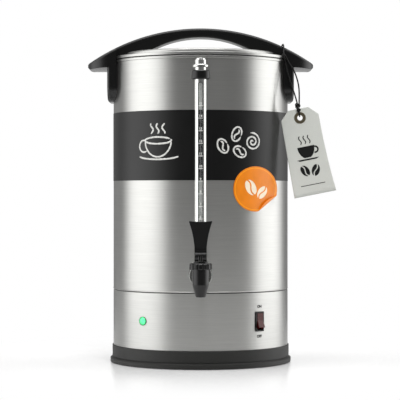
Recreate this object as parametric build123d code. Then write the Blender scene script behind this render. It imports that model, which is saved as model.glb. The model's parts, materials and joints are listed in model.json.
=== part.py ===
from build123d import *
import math
import os

# Coffee urn with a percolator inside: a 15 litre steel tank on a short heated base, a lift-off
# lid and a self-closing tap.  Millimetres, +Z up, the front faces -Y.  The origin is on the
# urn's axis at the surface that it stands on.

# ---------------------------------------------------------------- driving dimensions
# Steel bodies
tank_radius = 130.0
sheet = 1.0
running_gap = 0.05
skirt_gap = 0.1
cut_past = 5.0
rim_z = 447.0
bead_height = 4.0
bead_proud = 1.0
seam_z = 108.0
seam_gap = 1.2
seam_bead = 0.5
skirt_depth = 10.0
floor_rise = 10.0
well_radius = 22.0
well_depth = 18.0
stud_radius = 4.0
stud_length = 22.0

# Black writing band and round label on the wall
band_drop = 77.8
band_height = 100.0
foil = 0.2
label_azimuth = 37.42
label_drop = 12.3
label_radius = 32.4
label_thickness = 0.25

# Base ring, foot and bottom plate
ring_height = 26.6
ring_flange = 4.5
ring_flange_height = 7.0
ring_lip = 1.6
ring_inner_wall = 3.0
ring_chamfer = 0.8
ring_slope = 2.4
ring_groove = 0.9
ring_edge = 0.5
ring_inner_drop = 4.0
shell_seat_z = 12.0
foot_proud = 0.8
foot_inset = 3.0
foot_width = 8.0
foot_height = 4.0
plate_inset = 3.5
plate_gap = 0.5
plate_thickness = 1.2
plate_z = 2.6
ledge_width = 9.5
ledge_thickness = 3.0
vent_count = 24
vent_inset = 44.0
vent_length = 26.0
vent_width = 4.0
bottom_screw_radius = 2.0
bottom_screw_length = 12.0
bottom_screw_count = 4
bottom_head_radius = 3.8
bottom_head_low_z = 1.0
bottom_slot_width = 0.8
bottom_slot_depth = 0.8
screw_hole_gap = 0.2
boss_wall = 2.4

# Lid
lid_overlap = 1.0
lid_edge_width = 2.4
lid_edge_round = 1.2
lid_foot_round = 2.0
lid_step_round = 4.0
lid_line_depth = 1.2
lid_line_height = 1.5
lid_flange_rise = 5.6
lid_flange_width = 16.0
lid_step_rise = 5.8
lid_dome_rise = 6.1
lid_skirt_gap = 0.5
lid_skirt_depth = 9.0
steam_hole_radius = 1.6
steam_hole_inset = 19.0
steam_hole_turn = 12.0

# Handles
arch_rise = 44.0
arch_height = 14.1
arch_foot_inset = 39.5
arch_depth = 38.0
arch_round = 5.0
arch_under_round = 2.5
crown_radius = 200.0
under_crown_radius = 300.0
string_notch = 3.2
string_notch_inset = 10.5
wing_width = 37.6
wing_drop = 14.2
wing_edge = 10.05
wing_tip_width = 10.0
wing_tip_back = 2.5
wing_tip_rise = 2.0
wing_tip_wall = 3.0
wing_corner = 35.0
wing_round = 3.5
leg_thickness = 7.6
leg_length = 47.2
leg_corner = 26.0
leg_round = 4.5
leg_overlap = 5.0
handle_width = 88.0
handle_gap = 0.4
handle_sink = 2.0
screw_radius = 2.5
screw_head_radius = 4.5
screw_head_height = 3.0
screw_slot_width = 1.0
screw_slot_depth = 1.2
screw_tip_gap = 0.5
handle_screw_rise = 10.4
handle_screw_drop = 6.0
handle_screw_grip = 5.6
washer_radius = 7.0
washer_thickness = 1.4
lid_screw_inset = 39.0
lid_screw_grip = 12.0
lid_washer_radius = 6.0
lid_washer = 1.0

# Tap: the shank runs along Y, the valve stands upright
tap_reach = 60.0
tap_rise = 18.0
shank_radius = 7.5
shank_bore = 5.0
shank_thread_radius = 9.5
shank_inside = 14.0
shank_flange_radius = 16.5
shank_flange = 3.0
gasket = 1.2
gasket_inset = 1.5
gasket_dip = 1.0
tank_nut_flats = 27.0
tank_nut_thickness = 6.0
stub_radius = 9.0
stub_length = 24.0
stub_socket = 8.0
union_radius = 15.9
union_length = 9.5
union_overlap = 3.0
union_round = 0.8
union_knurls = 30
union_knurl_radius = 1.0
tap_radius = 11.4
tap_bore = 8.4
spout_drop = 29.0
spout_radius = 7.0
spout_bore = 4.5
taper_drop = 9.0
taper_shoulder = 3.0
tap_top_rise = 9.4
bonnet_radius = 15.9
bonnet_grip_height = 8.6
bonnet_neck_height = 2.0
bonnet_top_radius = 10.4
bonnet_flutes = 14
bonnet_flute_radius = 1.9
bonnet_flute_out = 0.8
bonnet_round = 0.8
bonnet_skirt = 6.0
bonnet_skirt_wall = 1.5
stem_radius = 2.5
stem_plate_radius = 6.0
stem_plate = 1.4
seat_cup_radius = 6.4
seat_cup_height = 10.0
seat_cup_grip = 6.0
seat_cup_step = 1.6
spring_pocket_depth = 4.6
spring_pocket_radius = 5.7
spring_radius = 4.4
spring_wire = 0.8
spring_turns = 5.0
pin_rise = 7.0
pin_radius = 1.5
pin_cap = 3.6
edge_round = 0.6

# Tap lever: a flat paddle on an eccentric foot
lever_foot_width = 16.8
lever_foot_radius = 6.7
lever_eccentric = 6.0
lever_waist_rise = 13.0
lever_neck_drop = 4.0
lever_height = 49.6
lever_top_width = 33.0
lever_mid_width = 22.3
lever_dip = 1.2
lever_thickness = 6.0
lever_slot = 5.5
lever_slot_rise = 4.8
lever_slot_front_rise = 1.6
lever_round = 1.0

# Level gauge
gauge_reach = 20.0
gauge_boss_radius = 8.5
gauge_boss_rise = 10.0
gauge_socket = 6.0
gauge_socket_play = 0.5
glass_radius = 5.0
glass_bore = 3.8
glass_inset = 4.2
gauge_nut_radius = 11.4
gauge_nut_rise = 8.5
gauge_nut_gap = 0.3
gauge_lip = 2.0
gauge_knurls = 24
gauge_knurl_radius = 0.9
gauge_knurl_inset = 2.0
seal_height = 3.0
seal_width = 2.0
seal_play = 0.5
shield_radius = 8.5
shield_wall = 0.8
shield_slot = 7.6
shield_slot_rise = 5.5
shield_slot_drop = 3.8
shield_entry = 3.0
bushing_radius = 13.3
bushing_drop = 36.2
bushing_height = 12.8
bushing_round = 1.5
cap_radius = 8.0
cap_height = 17.9
cap_round = 3.6
cap_collar_radius = 11.0
cap_collar_rise = 4.0
cap_collar_height = 4.2
cap_collar_round = 0.8
cap_vent = 1.2

# Lamp and switch on the base shell, and the mains inlet behind
lamp_azimuth = -39.7
lamp_rise = 40.6
lamp_radius = 5.6
lamp_proud = 4.2
lamp_bezel_radius = 6.4
lamp_bezel = 1.0
lamp_bezel_sink = 0.4
lamp_depth = 22.0
lamp_body_radius = 6.0
lamp_stem_wall = 0.8
lamp_stem_depth = 4.0
lamp_tag_length = 6.0
lamp_tag_width = 2.8
lamp_tag_thickness = 0.6
lamp_tag_x = 2.5
switch_azimuth = 40.5
switch_rise = 40.1
switch_width = 15.0
switch_height = 28.5
switch_corner = 1.5
switch_bezel = 1.8
switch_depth = 21.0
switch_wall = 0.8
bezel_overlap = 1.0
rocker_tilt = 12.0
rocker_gap = 0.4
rocker_proud = 0.6
rocker_back = 1.8
rocker_hub_radius = 6.5
rocker_pin_radius = 1.2
rocker_pin_depth = 4.5
tab_width = 4.8
tab_thickness = 0.8
tab_length = 8.0
tab_x = 2.6
tab_y = 6.0
inlet_rise = 21.4
inlet_width = 27.0
inlet_height = 19.5
inlet_wall = 2.0
inlet_depth = 22.0
inlet_flange = 2.6
inlet_flange_width = 50.0
inlet_flange_height = 24.0
inlet_flange_sink = 6.0
inlet_corner = 5.0
inlet_pocket = 17.0
inlet_screw_spacing = 40.0
inlet_screw_radius = 1.6
inlet_screw_grip = 4.0
inlet_screw_play = 0.1
inlet_head_radius = 2.9
inlet_head = 1.6
inlet_pin_width = 4.0
inlet_pin_thickness = 2.0
inlet_pin_spacing = 7.0
inlet_pin_rise = 2.5
inlet_pin_inset = 3.0
inlet_tag_length = 7.0

# Heating parts under the tank
block_wall = 9.0
block_drop = 14.0
block_rise = 11.0
block_gap = 0.1
heater_nut_flats = 13.0
heater_nut_thickness = 6.5
mat_inner_gap = 23.0
mat_outer_inset = 35.0
mat_thickness = 2.4
thermostat_radius = 8.0
thermostat_length = 9.0
thermostat_azimuth = 60.0
cutout_azimuth = -60.0
sensor_drop = 2.0
sensor_flat_inset = 2.1
sensor_tab_x = 4.0
sensor_tab_length = 6.0
terminal_length = 44.0
terminal_width = 17.0
terminal_height = 13.0
terminal_x = 0.0
terminal_inset = 52.0
terminal_floor = 4.0
terminal_bore = 2.4
terminal_screw_play = 0.1
terminal_screw_drop = 1.0
terminal_count = 4
wire_radius = 1.3

# Percolator
stem_tube_radius = 6.0
stem_tube_wall = 1.0
stem_tube_drop = 11.0
foot_gap = 2.5
foot_rise = 15.0
foot_port_radius = 2.2
foot_port_ring = 10.3
foot_port_count = 6
foot_inflow_radius = 2.0
foot_inflow_rise = 2.5
valve_inset = 6.5
valve_thickness = 1.0
valve_travel = 3.0
valve_stop = 2.0
valve_gap = 0.4
basket_gap = 30.0
basket_drop = 30.0
basket_depth = 85.0
basket_rim = 2.0
basket_collar_radius = 9.0
basket_collar = 3.0
sleeve_gap = 0.6
sleeve_drop = 17.0
brew_hole_radius = 1.8
brew_rings = 5
brew_first_ring = 22.0
brew_ring_step = 15.0
brew_first_count = 8
brew_count_step = 6
cover_play = 0.5
cover_dish = 6.0
cover_lip = 3.0

# Swing tag on its string
tag_out = 4.9
tag_drop = 11.5
tag_front = 15.0
tag_angle = 11.2
tag_width = 55.8
tag_length = 127.5
tag_chamfer_width = 13.0
tag_chamfer_length = 13.0
tag_card = 0.8
eyelet_drop = 13.4
eyelet_radius = 8.5
eyelet_hole = 3.9
eyelet_wall = 0.6
eyelet_proud = 0.5
string_radius = 1.05
knot_radius = 4.3
knot_rise = 18.0
knot_low_radius = 3.2
knot_low_rise = 11.3
bight_half_width = 3.4

# ---------------------------------------------------------------- sizes that follow
tank_inner = tank_radius - sheet
skirt_outer = tank_inner - skirt_gap
skirt_inner = skirt_outer - sheet
floor_z = seam_z + floor_rise
well_floor_z = floor_z - well_depth
band_high_z = rim_z - band_drop
band_low_z = band_high_z - band_height
label_x = tank_radius * math.sin(math.radians(label_azimuth))
label_z = band_low_z - label_drop
ring_flange_radius = tank_radius + ring_flange
foot_outer = tank_radius - foot_inset
plate_radius = foot_outer - foot_width - plate_inset
ledge_inner = plate_radius - ledge_width
vent_inner = ledge_inner - vent_inset

lid_radius = tank_radius + lid_overlap
flange_top_z = rim_z + lid_flange_rise
step_radius = lid_radius - lid_flange_width
step_top_z = flange_top_z + lid_step_rise
dome_top_z = step_top_z + lid_dome_rise
steam_hole_ring = step_radius - steam_hole_inset
lid_clear_radius = lid_radius + handle_gap
lid_screw_x = lid_radius - lid_screw_inset


def arc_radius(half_span, rise):
    """Radius of an arc from half its span and its rise."""
    return (half_span**2 + rise**2) / (2 * rise)


arch_top_z = flange_top_z + arch_rise
arch_under_z = arch_top_z - arch_height
arch_under_radius = arc_radius(lid_radius - arch_foot_inset, arch_under_z - flange_top_z)
arch_under_centre_z = arch_under_z - arch_under_radius
wing_reach = tank_radius + wing_width
wing_under_z = rim_z - wing_drop
arch_radius = arc_radius(wing_reach, arch_top_z - wing_under_z - wing_edge)
arch_centre_z = arch_top_z - arch_radius
string_notch_x = lid_radius - string_notch_inset
leg_outer_x = tank_radius + leg_thickness
leg_low_z = wing_under_z - leg_length
handle_screw_low_z = leg_low_z + handle_screw_rise
handle_screw_high_z = wing_under_z - handle_screw_drop

tap_y = -tank_radius - tap_reach
tap_z = floor_z + tap_rise
stub_back_y = tap_y + stub_length
flange_face_y = -(tank_radius + gasket)
spout_z = tap_z - spout_drop
taper_z = tap_z - taper_drop
tap_top_z = tap_z + tap_top_rise
bonnet_grip_z = tap_top_z + bonnet_grip_height
bonnet_top_z = bonnet_grip_z + bonnet_neck_height
spring_pocket_z = tap_top_z + spring_pocket_depth
stem_low_z = taper_z + seat_cup_height - seat_cup_grip
stem_plate_z = taper_z + seat_cup_height
pin_z = bonnet_top_z + pin_rise
lever_waist_z = pin_z + lever_waist_rise
lever_top_z = pin_z + lever_height

gauge_y = -tank_radius - gauge_reach
gauge_boss_z = tap_z + gauge_boss_rise
gauge_nut_low_z = tap_z + shank_radius + gauge_nut_gap
gauge_nut_high_z = gauge_boss_z + gauge_nut_rise
bushing_low_z = rim_z - bushing_drop
bushing_high_z = bushing_low_z + bushing_height
glass_top_z = bushing_high_z - glass_inset
shield_slot_low_z = gauge_nut_high_z + shield_slot_rise
shield_slot_high_z = bushing_low_z - shield_slot_drop
cap_collar_low_z = bushing_high_z + cap_collar_rise
cap_collar_high_z = cap_collar_low_z + cap_collar_height
cap_top_z = bushing_high_z + cap_height

lamp_z = ring_height + lamp_rise
switch_z = ring_height + switch_rise
inlet_z = ring_height + inlet_rise
block_low_z = well_floor_z - block_drop
block_high_z = well_floor_z + block_rise
sensor_z = well_floor_z - sensor_drop
sensor_flat = well_radius + sheet + block_gap + block_wall - sensor_flat_inset
mat_inner = well_radius + mat_inner_gap
mat_outer = tank_radius - mat_outer_inset
terminal_y = tank_radius - terminal_inset

tube_bore = stem_tube_radius - stem_tube_wall
stem_tube_top_z = rim_z - stem_tube_drop
foot_radius = well_radius - foot_gap
foot_top_z = well_floor_z + foot_rise
valve_radius = foot_radius - valve_inset
basket_radius = tank_radius - basket_gap
basket_high_z = rim_z - basket_drop
basket_low_z = basket_high_z - basket_depth
sleeve_top_z = basket_high_z - sleeve_drop

tag_x = leg_outer_x + tag_out
tag_top_z = leg_low_z - tag_drop
tag_y = -(handle_width / 2 + tag_front)


# ---------------------------------------------------------------- shapes used throughout
def rod(radius, low, high, x=0.0, y=0.0):
    """Upright round bar between two heights."""
    return Pos(x, y, (low + high) / 2) * Cylinder(radius, high - low)


def tube(outer, inner, low, high, x=0.0, y=0.0):
    """Upright round tube between two heights."""
    return rod(outer, low, high, x, y) - rod(inner, low, high, x, y)


def rod_x(radius, start, end, y, z):
    """Round bar along X."""
    return Location(((start + end) / 2, y, z), (0, 90, 0)) * Cylinder(radius, abs(end - start))


def rod_y(radius, start, end, x, z):
    """Round bar along Y."""
    return Location((x, (start + end) / 2, z), (90, 0, 0)) * Cylinder(radius, abs(end - start))


def block(x_low, x_high, y_low, y_high, z_low, z_high):
    """Rectangular block between its corners."""
    middle = Pos((x_low + x_high) / 2, (y_low + y_high) / 2, (z_low + z_high) / 2)
    return middle * Box(x_high - x_low, y_high - y_low, z_high - z_low)


def turned(points, y=0.0):
    """Solid turned about an upright axis from an outline of (radius, height) points."""
    return Pos(0, y, 0) * revolve(Plane.XZ * make_face(Polyline(*points, close=True)), Axis.Z)


def hexagon(flats, start, end, x, z):
    """Hexagonal bar along Y, for nuts."""
    shape = extrude(RegularPolygon(flats / 2, 6, major_radius=False), amount=end - start)
    return Location((x, end, z), (90, 0, 0)) * shape


def around(count, radius, shape, y=0.0):
    """Copies of a shape on a circle about an upright axis."""
    turn = 360.0 / count
    return [Pos(0, y, 0) * Rot(0, 0, i * turn) * Pos(radius, 0, 0) * shape for i in range(count)]


def on_wall(azimuth, height, radius=tank_radius):
    """Place on the wall where local +Z points outwards and local +Y points up."""
    return Pos(0, 0, height) * Rot(0, 0, azimuth) * Pos(0, -radius, 0) * Rot(90, 0, 0)


def edges_at(shape, test):
    """Edges whose two ends and middle all pass a test of a point."""
    return ShapeList([e for e in shape.edges() if all(test(e @ t) for t in (0.0, 0.5, 1.0))])


def near(value, wanted):
    """True where two lengths agree to a hundredth of a millimetre."""
    return abs(value - wanted) < 0.01


# ---------------------------------------------------------------- tank, band and label
def make_tank():
    """Drawn steel tank: wall with a rolled rim, flat floor, heated well and a skirt below."""
    crest = bead_proud * 0.6
    wall = turned([
        (tank_radius, seam_z + seam_gap),
        (tank_radius + seam_bead, seam_z + seam_gap + seam_bead),
        (tank_radius + seam_bead, seam_z + seam_gap + 2 * seam_bead),
        (tank_radius, seam_z + seam_gap + 3 * seam_bead),
        (tank_radius, rim_z - bead_height),
        (tank_radius + bead_proud, rim_z - bead_height + crest),
        (tank_radius + bead_proud, rim_z - crest),
        (tank_radius + bead_proud - crest, rim_z),
        (tank_inner - bead_proud + crest, rim_z),
        (tank_inner - bead_proud, rim_z - crest),
        (tank_inner - bead_proud, rim_z - bead_height + crest),
        (tank_inner, rim_z - bead_height),
        (tank_inner, floor_z),
        (well_radius, floor_z),
        (well_radius, well_floor_z),
        (0, well_floor_z),
        (0, well_floor_z - sheet),
        (well_radius + sheet, well_floor_z - sheet),
        (well_radius + sheet, floor_z - sheet),
        (skirt_inner, floor_z - sheet),
        (skirt_inner, seam_z - skirt_depth),
        (skirt_outer, seam_z - skirt_depth),
        (skirt_outer, seam_z + seam_gap),
    ])
    stud_top = well_floor_z - sheet
    wall += rod(stud_radius, stud_top - stud_length, stud_top)
    hole = shank_thread_radius + running_gap
    wall -= rod_y(hole, -tank_radius - cut_past, -tank_inner + cut_past, 0, tap_z)
    for side in (-1, 1):
        for z in (handle_screw_low_z, handle_screw_high_z):
            reach = side * (tank_radius + cut_past)
            wall -= rod_x(screw_radius + running_gap, side * (tank_inner - cut_past), reach, 0, z)
    return wall


def make_chalk_band():
    """Black writing foil round the tank."""
    return tube(tank_radius + foil, tank_radius, band_low_z, band_high_z)


def make_round_label():
    """Round sticker, partly over the band, cut from a curved film."""
    inner = tank_radius + foil
    film = tube(inner + label_thickness, inner, label_z - label_radius, label_z + label_radius)
    return film & rod_y(label_radius, -inner - cut_past, 0, label_x, label_z)


# ---------------------------------------------------------------- base
def make_base_ring():
    """Moulded ring: stepped outside, a groove for the steel shell and one for the foot."""
    lip_outer = tank_radius + ring_lip
    inner_wall = tank_inner - ring_inner_wall
    ledge_top = plate_z + plate_thickness + ledge_thickness
    slope_top = ring_flange_height + ring_slope
    shape = turned([
        (plate_radius + plate_gap, foot_proud),
        (ring_flange_radius - ring_chamfer, foot_proud),
        (ring_flange_radius, foot_proud + ring_chamfer),
        (ring_flange_radius, ring_flange_height),
        (lip_outer - ring_groove, slope_top),
        (lip_outer - ring_groove, slope_top + ring_groove),
        (lip_outer, slope_top + ring_groove),
        (lip_outer, ring_height - ring_edge),
        (lip_outer - ring_edge, ring_height),
        (tank_radius, ring_height),
        (tank_radius, shell_seat_z),
        (tank_inner, shell_seat_z),
        (tank_inner, ring_height - ring_inner_drop),
        (inner_wall, ring_height - ring_inner_drop),
        (inner_wall, ledge_top),
        (ledge_inner, ledge_top),
        (ledge_inner, plate_z + plate_thickness),
        (plate_radius + plate_gap, plate_z + plate_thickness),
    ])
    shape -= tube(foot_outer, foot_outer - foot_width, 0, foot_height)
    boss_top = plate_z + plate_thickness + bottom_screw_length
    boss = rod(bottom_screw_radius + boss_wall, ledge_top, boss_top)
    for piece in around(bottom_screw_count, bottom_screw_ring(), boss):
        shape += piece
    pilot = rod(bottom_screw_radius, plate_z, boss_top - screw_tip_gap)
    for piece in around(bottom_screw_count, bottom_screw_ring(), pilot):
        shape -= piece
    return shape


def bottom_screw_ring():
    """Radius of the circle of screws that hold the bottom plate."""
    return (plate_radius + ledge_inner) / 2


def make_foot_ring():
    """Soft rubber ring that the urn stands on."""
    return tube(foot_outer, foot_outer - foot_width, 0, foot_height)


def make_bottom_plate():
    """Steel plate that closes the base, with a ring of cooling slots."""
    plate = rod(plate_radius, plate_z, plate_z + plate_thickness)
    slot = Pos(0, 0, plate_z) * extrude(SlotOverall(vent_length, vent_width), amount=plate_thickness)
    for piece in around(vent_count, vent_inner + vent_length / 2, slot):
        plate -= piece
    hole = rod(bottom_screw_radius + screw_hole_gap, plate_z, plate_z + plate_thickness)
    for piece in around(bottom_screw_count, bottom_screw_ring(), hole):
        plate -= piece
    return plate


def make_bottom_screws():
    """Four pan-head screws through the bottom plate."""
    tip = plate_z + plate_thickness + bottom_screw_length - 2 * screw_tip_gap
    screw = rod(bottom_screw_radius, plate_z, tip)
    screw += rod(bottom_head_radius, bottom_head_low_z, plate_z)
    half = bottom_slot_width / 2
    slot_top = bottom_head_low_z + bottom_slot_depth
    screw -= block(-bottom_head_radius, bottom_head_radius, -half, half, bottom_head_low_z, slot_top)
    return around(bottom_screw_count, bottom_screw_ring(), screw)


def make_base_shell():
    """Steel skirt between the seam and the base ring, pierced for lamp, switch and inlet."""
    shell = turned([
        (tank_inner, shell_seat_z),
        (tank_radius, shell_seat_z),
        (tank_radius, seam_z - seam_bead),
        (tank_radius - seam_bead, seam_z),
        (tank_inner, seam_z),
    ])
    shell -= on_wall(lamp_azimuth, lamp_z) * Cylinder(lamp_body_radius + running_gap, 4 * cut_past)
    hole = Box(switch_width - 2 * bezel_overlap, switch_height - 2 * bezel_overlap, 4 * cut_past)
    shell -= on_wall(switch_azimuth, switch_z) * hole
    shell -= on_wall(180, inlet_z) * Box(inlet_width, inlet_height, 4 * cut_past)
    hole = Cylinder(inlet_screw_radius + screw_hole_gap, 4 * cut_past)
    for side in (-1, 1):
        shell -= on_wall(180, inlet_z) * Pos(side * inlet_screw_spacing / 2, 0, 0) * hole
    return shell


# ---------------------------------------------------------------- lid
def lid_form(edge_radius, inset, low):
    """Filled lid shape above a height: flange, rounded step and shallow dome."""
    step = step_radius - inset
    rise = dome_top_z - step_top_z
    sphere = (step**2 + rise**2) / (2 * rise)
    top = dome_top_z - inset
    half = (step / 2, top - sphere + math.sqrt(sphere**2 - step**2 / 4))
    corner = (step, top - rise)
    foot = (step, flange_top_z - inset)
    edge = (edge_radius, flange_top_z - inset)
    outline = Polyline((0, top), (0, low), (edge_radius, low), edge, foot, corner)
    outline += ThreePointArc(corner, half, (0, top))
    face = make_face(outline)
    rounds = ((edge, lid_edge_round), (foot, lid_foot_round), (corner, lid_step_round - inset))
    for point, radius in rounds:
        vertex = face.vertices().sort_by_distance(Vector(*point))[0]
        face = fillet(vertex, radius)
    return revolve(Plane.XZ * face, Axis.Z)


def make_lid_shell():
    """Pressed steel lid with a rolled edge on the rim and a locating skirt inside it."""
    shell = lid_form(lid_radius, 0.0, rim_z)
    shell -= lid_form(lid_radius - lid_edge_width, sheet, rim_z - cut_past)
    outer = tank_inner - bead_proud - lid_skirt_gap
    shell += tube(outer, outer - sheet, rim_z - lid_skirt_depth, flange_top_z - sheet / 2)
    shell -= turned([
        (lid_radius - lid_line_depth, rim_z),
        (lid_radius + cut_past, rim_z),
        (lid_radius + cut_past, rim_z + lid_line_height),
        (lid_radius, rim_z + lid_line_height),
    ])
    for x in (-lid_screw_x, lid_screw_x):
        shell -= rod(screw_radius + running_gap, rim_z, dome_top_z, x)
    for i in (-1, 0, 1):
        hole = rod(steam_hole_radius, rim_z, dome_top_z, 0, steam_hole_ring)
        shell -= Rot(0, 0, steam_hole_turn * i) * hole
    return shell


def crowned(half):
    """Barrel along Y under the handles' common arc, with a top that falls away front and back."""
    edge = crown_at(half)
    outline = ThreePointArc((edge, -half), (arch_radius, 0), (edge, half))
    outline += Polyline((edge, half), (0, half), (0, -half), (edge, -half))
    return Pos(0, 0, arch_centre_z) * revolve(Plane.XY * make_face(outline), Axis.Y)


def crown_at(y):
    """Radius of the handles' crowned top at a distance from the middle."""
    return arch_radius - crown_radius + math.sqrt(crown_radius**2 - y**2)


def on_crown(p):
    """True on the crowned top of the handles."""
    return near(math.hypot(p.X, p.Z - arch_centre_z), crown_at(p.Y))


def make_lid_handle():
    """Arched bar across the lid, in line with the side handles."""
    half = arch_depth / 2
    arch = crowned(half) & rod(lid_radius, rim_z - cut_past, arch_top_z + cut_past)
    arch -= rod_y(arch_under_radius, -half - cut_past, half + cut_past, 0, arch_under_centre_z)

    def on_under(p):
        return near(math.hypot(p.X, p.Z - arch_under_centre_z), arch_under_radius)

    arch = fillet(edges_at(arch, lambda p: on_crown(p) and near(abs(p.Y), half)), arch_round)
    arch = fillet(edges_at(arch, lambda p: on_under(p) and near(abs(p.Y), half)), arch_under_round)
    arch -= lid_form(lid_radius, 0.0, rim_z - 2 * cut_past)
    notch_top = flange_top_z + string_notch
    low_x = string_notch_x - string_notch / 2
    arch -= block(low_x, low_x + string_notch, -arch_depth, arch_depth, rim_z, notch_top)
    for x in (-lid_screw_x, lid_screw_x):
        arch -= rod(screw_radius, rim_z, lid_seat_z() + lid_screw_grip, x)
    return arch


def lid_seat_z():
    """Height of the dome's underside at the screws of the lid handle."""
    rise = dome_top_z - step_top_z
    sphere = ((step_radius - sheet) ** 2 + rise**2) / (2 * rise)
    reach = lid_screw_x + lid_washer_radius
    return dome_top_z - sheet - sphere + math.sqrt(sphere**2 - reach**2)


def make_lid_washers():
    """Two steel washers under the lid, below the handle's screws."""
    top = lid_seat_z()
    bore = screw_radius + screw_hole_gap
    washer = tube(lid_washer_radius, bore, top - lid_washer, top)
    return [Pos(x, 0, 0) * washer for x in (-lid_screw_x, lid_screw_x)]


def make_lid_screws():
    """Two screws up through the lid into the arched handle."""
    screws = []
    for x in (-lid_screw_x, lid_screw_x):
        top = lid_seat_z() - lid_washer
        low = top - screw_head_height
        screw = rod(screw_radius, top, lid_seat_z() + lid_screw_grip - screw_tip_gap, x)
        screw += rod(screw_head_radius, low, top, x)
        half = screw_slot_width / 2
        side = screw_head_radius
        screw -= block(x - side, x + side, -half, half, low, low + screw_slot_depth)
        screws.append(screw)
    return screws


# ---------------------------------------------------------------- side handles
def make_side_handle(side):
    """Wing and leg of one side handle, moulded as one piece; side is +1 right, -1 left."""
    half = handle_width / 2
    inner = math.sqrt(tank_radius**2 - half**2) - handle_sink
    tip_z = wing_under_z + wing_tip_rise
    profile = Polyline(
        (inner, wing_under_z),
        (wing_reach - wing_tip_width, wing_under_z),
        (wing_reach - wing_tip_back, tip_z),
        (wing_reach, tip_z + wing_tip_wall),
        (wing_reach, arch_top_z),
        (inner, arch_top_z),
        close=True,
    )
    wing = extrude(Plane.XZ * make_face(profile), amount=half, both=True)
    wing &= crowned(half)
    wing &= rod_x(under_crown_radius, 0, wing_reach + cut_past, 0, wing_under_z + under_crown_radius)
    plan = block(0, wing_reach, -half, half, leg_low_z, arch_top_z)
    plan = fillet(edges_at(plan, lambda p: near(p.X, wing_reach) and near(abs(p.Y), half)), wing_corner)
    wing &= plan
    top_edges = [e for e in wing.edges() if (e @ 0.5).X > inner + 0.1 and on_crown(e @ 0.5)]
    wing = fillet(ShapeList(top_edges), wing_round)
    leg = block(inner, leg_outer_x, -half, half, leg_low_z, wing_under_z + leg_overlap)
    leg = fillet(edges_at(leg, lambda p: near(p.Z, leg_low_z) and near(abs(p.Y), half)), leg_corner)
    leg_edges = [e for e in leg.edges() if near((e @ 0.5).X, leg_outer_x)]
    leg_edges = ShapeList([e for e in leg_edges if (e @ 0.5).Z < wing_under_z + leg_overlap - 1])
    leg = fillet(leg_edges, leg_round)
    shape = wing + leg
    shape -= rod(tank_radius, leg_low_z - cut_past, rim_z)
    shape -= rod(lid_clear_radius, rim_z - bead_height - 1, arch_top_z)
    for z in (handle_screw_low_z, handle_screw_high_z):
        shape -= rod_x(screw_radius, tank_radius - cut_past, tank_radius + handle_screw_grip, 0, z)
    return shape if side > 0 else mirror(shape, Plane.YZ)


def handle_screw_places():
    """Side and height of each screw of the two side handles."""
    return [(side, z) for side in (-1, 1) for z in (handle_screw_low_z, handle_screw_high_z)]


def make_handle_washers():
    """Silicone washers between the screw heads and the inside of the tank."""
    washers = []
    for side, z in handle_screw_places():
        ring = rod_x(washer_radius, side * (tank_inner - washer_thickness), side * tank_radius, 0, z)
        ring -= rod_x(screw_radius + running_gap, side * well_radius, side * wing_reach, 0, z)
        washers.append(ring & rod(tank_inner, z - washer_radius, z + washer_radius))
    return washers


def make_handle_screws():
    """Screws from inside the tank into the side handles."""
    screws = []
    for side, z in handle_screw_places():
        seat = tank_inner - washer_thickness
        end = tank_radius + handle_screw_grip - screw_tip_gap
        screw = rod_x(screw_radius, side * seat, side * end, 0, z)
        screw += rod_x(screw_head_radius, side * (seat - screw_head_height), side * seat, 0, z)
        face = seat - screw_head_height
        slot_low = min(side * face, side * (face + screw_slot_depth))
        half = screw_slot_width / 2
        reach = screw_head_radius
        screw -= block(slot_low, slot_low + screw_slot_depth, -reach, reach, z - half, z + half)
        screws.append(screw)
    return screws


# ---------------------------------------------------------------- tap
def make_tap_shank():
    """Plated casting: threaded through the tank, flanged outside, with the gauge's boss."""
    shank_end = stub_back_y - stub_socket
    shank = rod_y(shank_radius, shank_end, flange_face_y, 0, tap_z)
    shank += rod_y(shank_flange_radius, flange_face_y - shank_flange, flange_face_y, 0, tap_z)
    shank += rod_y(shank_thread_radius, flange_face_y, -(tank_inner - shank_inside), 0, tap_z)
    shank += rod(gauge_boss_radius, tap_z, gauge_boss_z, 0, gauge_y)
    shank -= rod_y(shank_bore, shank_end - 1, -(tank_inner - shank_inside) + 1, 0, tap_z)
    shank -= rod(glass_bore, tap_z, gauge_boss_z, 0, gauge_y)
    shank -= rod(glass_radius + running_gap, gauge_boss_z - gauge_socket, gauge_boss_z, 0, gauge_y)
    return shank


def make_tap_gaskets():
    """Silicone rings each side of the tank wall, shaped to it."""
    bore = shank_thread_radius + running_gap
    hole = rod_y(bore, flange_face_y - cut_past, tank_nut_y() + cut_past, 0, tap_z)
    outer = rod_y(shank_flange_radius - gasket_inset, flange_face_y, tank_nut_y(), 0, tap_z)
    outer = outer - hole - rod(tank_radius, tap_z - tap_rise, tap_z + tap_rise)
    inner = rod_y(tank_nut_flats / 2, -tank_radius, tank_nut_y(), 0, tap_z)
    inner = (inner - hole) & rod(tank_inner, tap_z - tap_rise, tap_z + tap_rise)
    return [outer, inner]


def tank_nut_y():
    """Y of the nut's face inside the tank, behind the inner gasket."""
    return -(tank_inner - gasket - gasket_dip)


def make_tank_nut():
    """Hexagonal nut on the shank inside the tank."""
    start = tank_nut_y()
    end = start + tank_nut_thickness
    nut = hexagon(tank_nut_flats, start, end, 0, tap_z)
    return nut - rod_y(shank_thread_radius, start - 1, end + 1, 0, tap_z)


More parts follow.
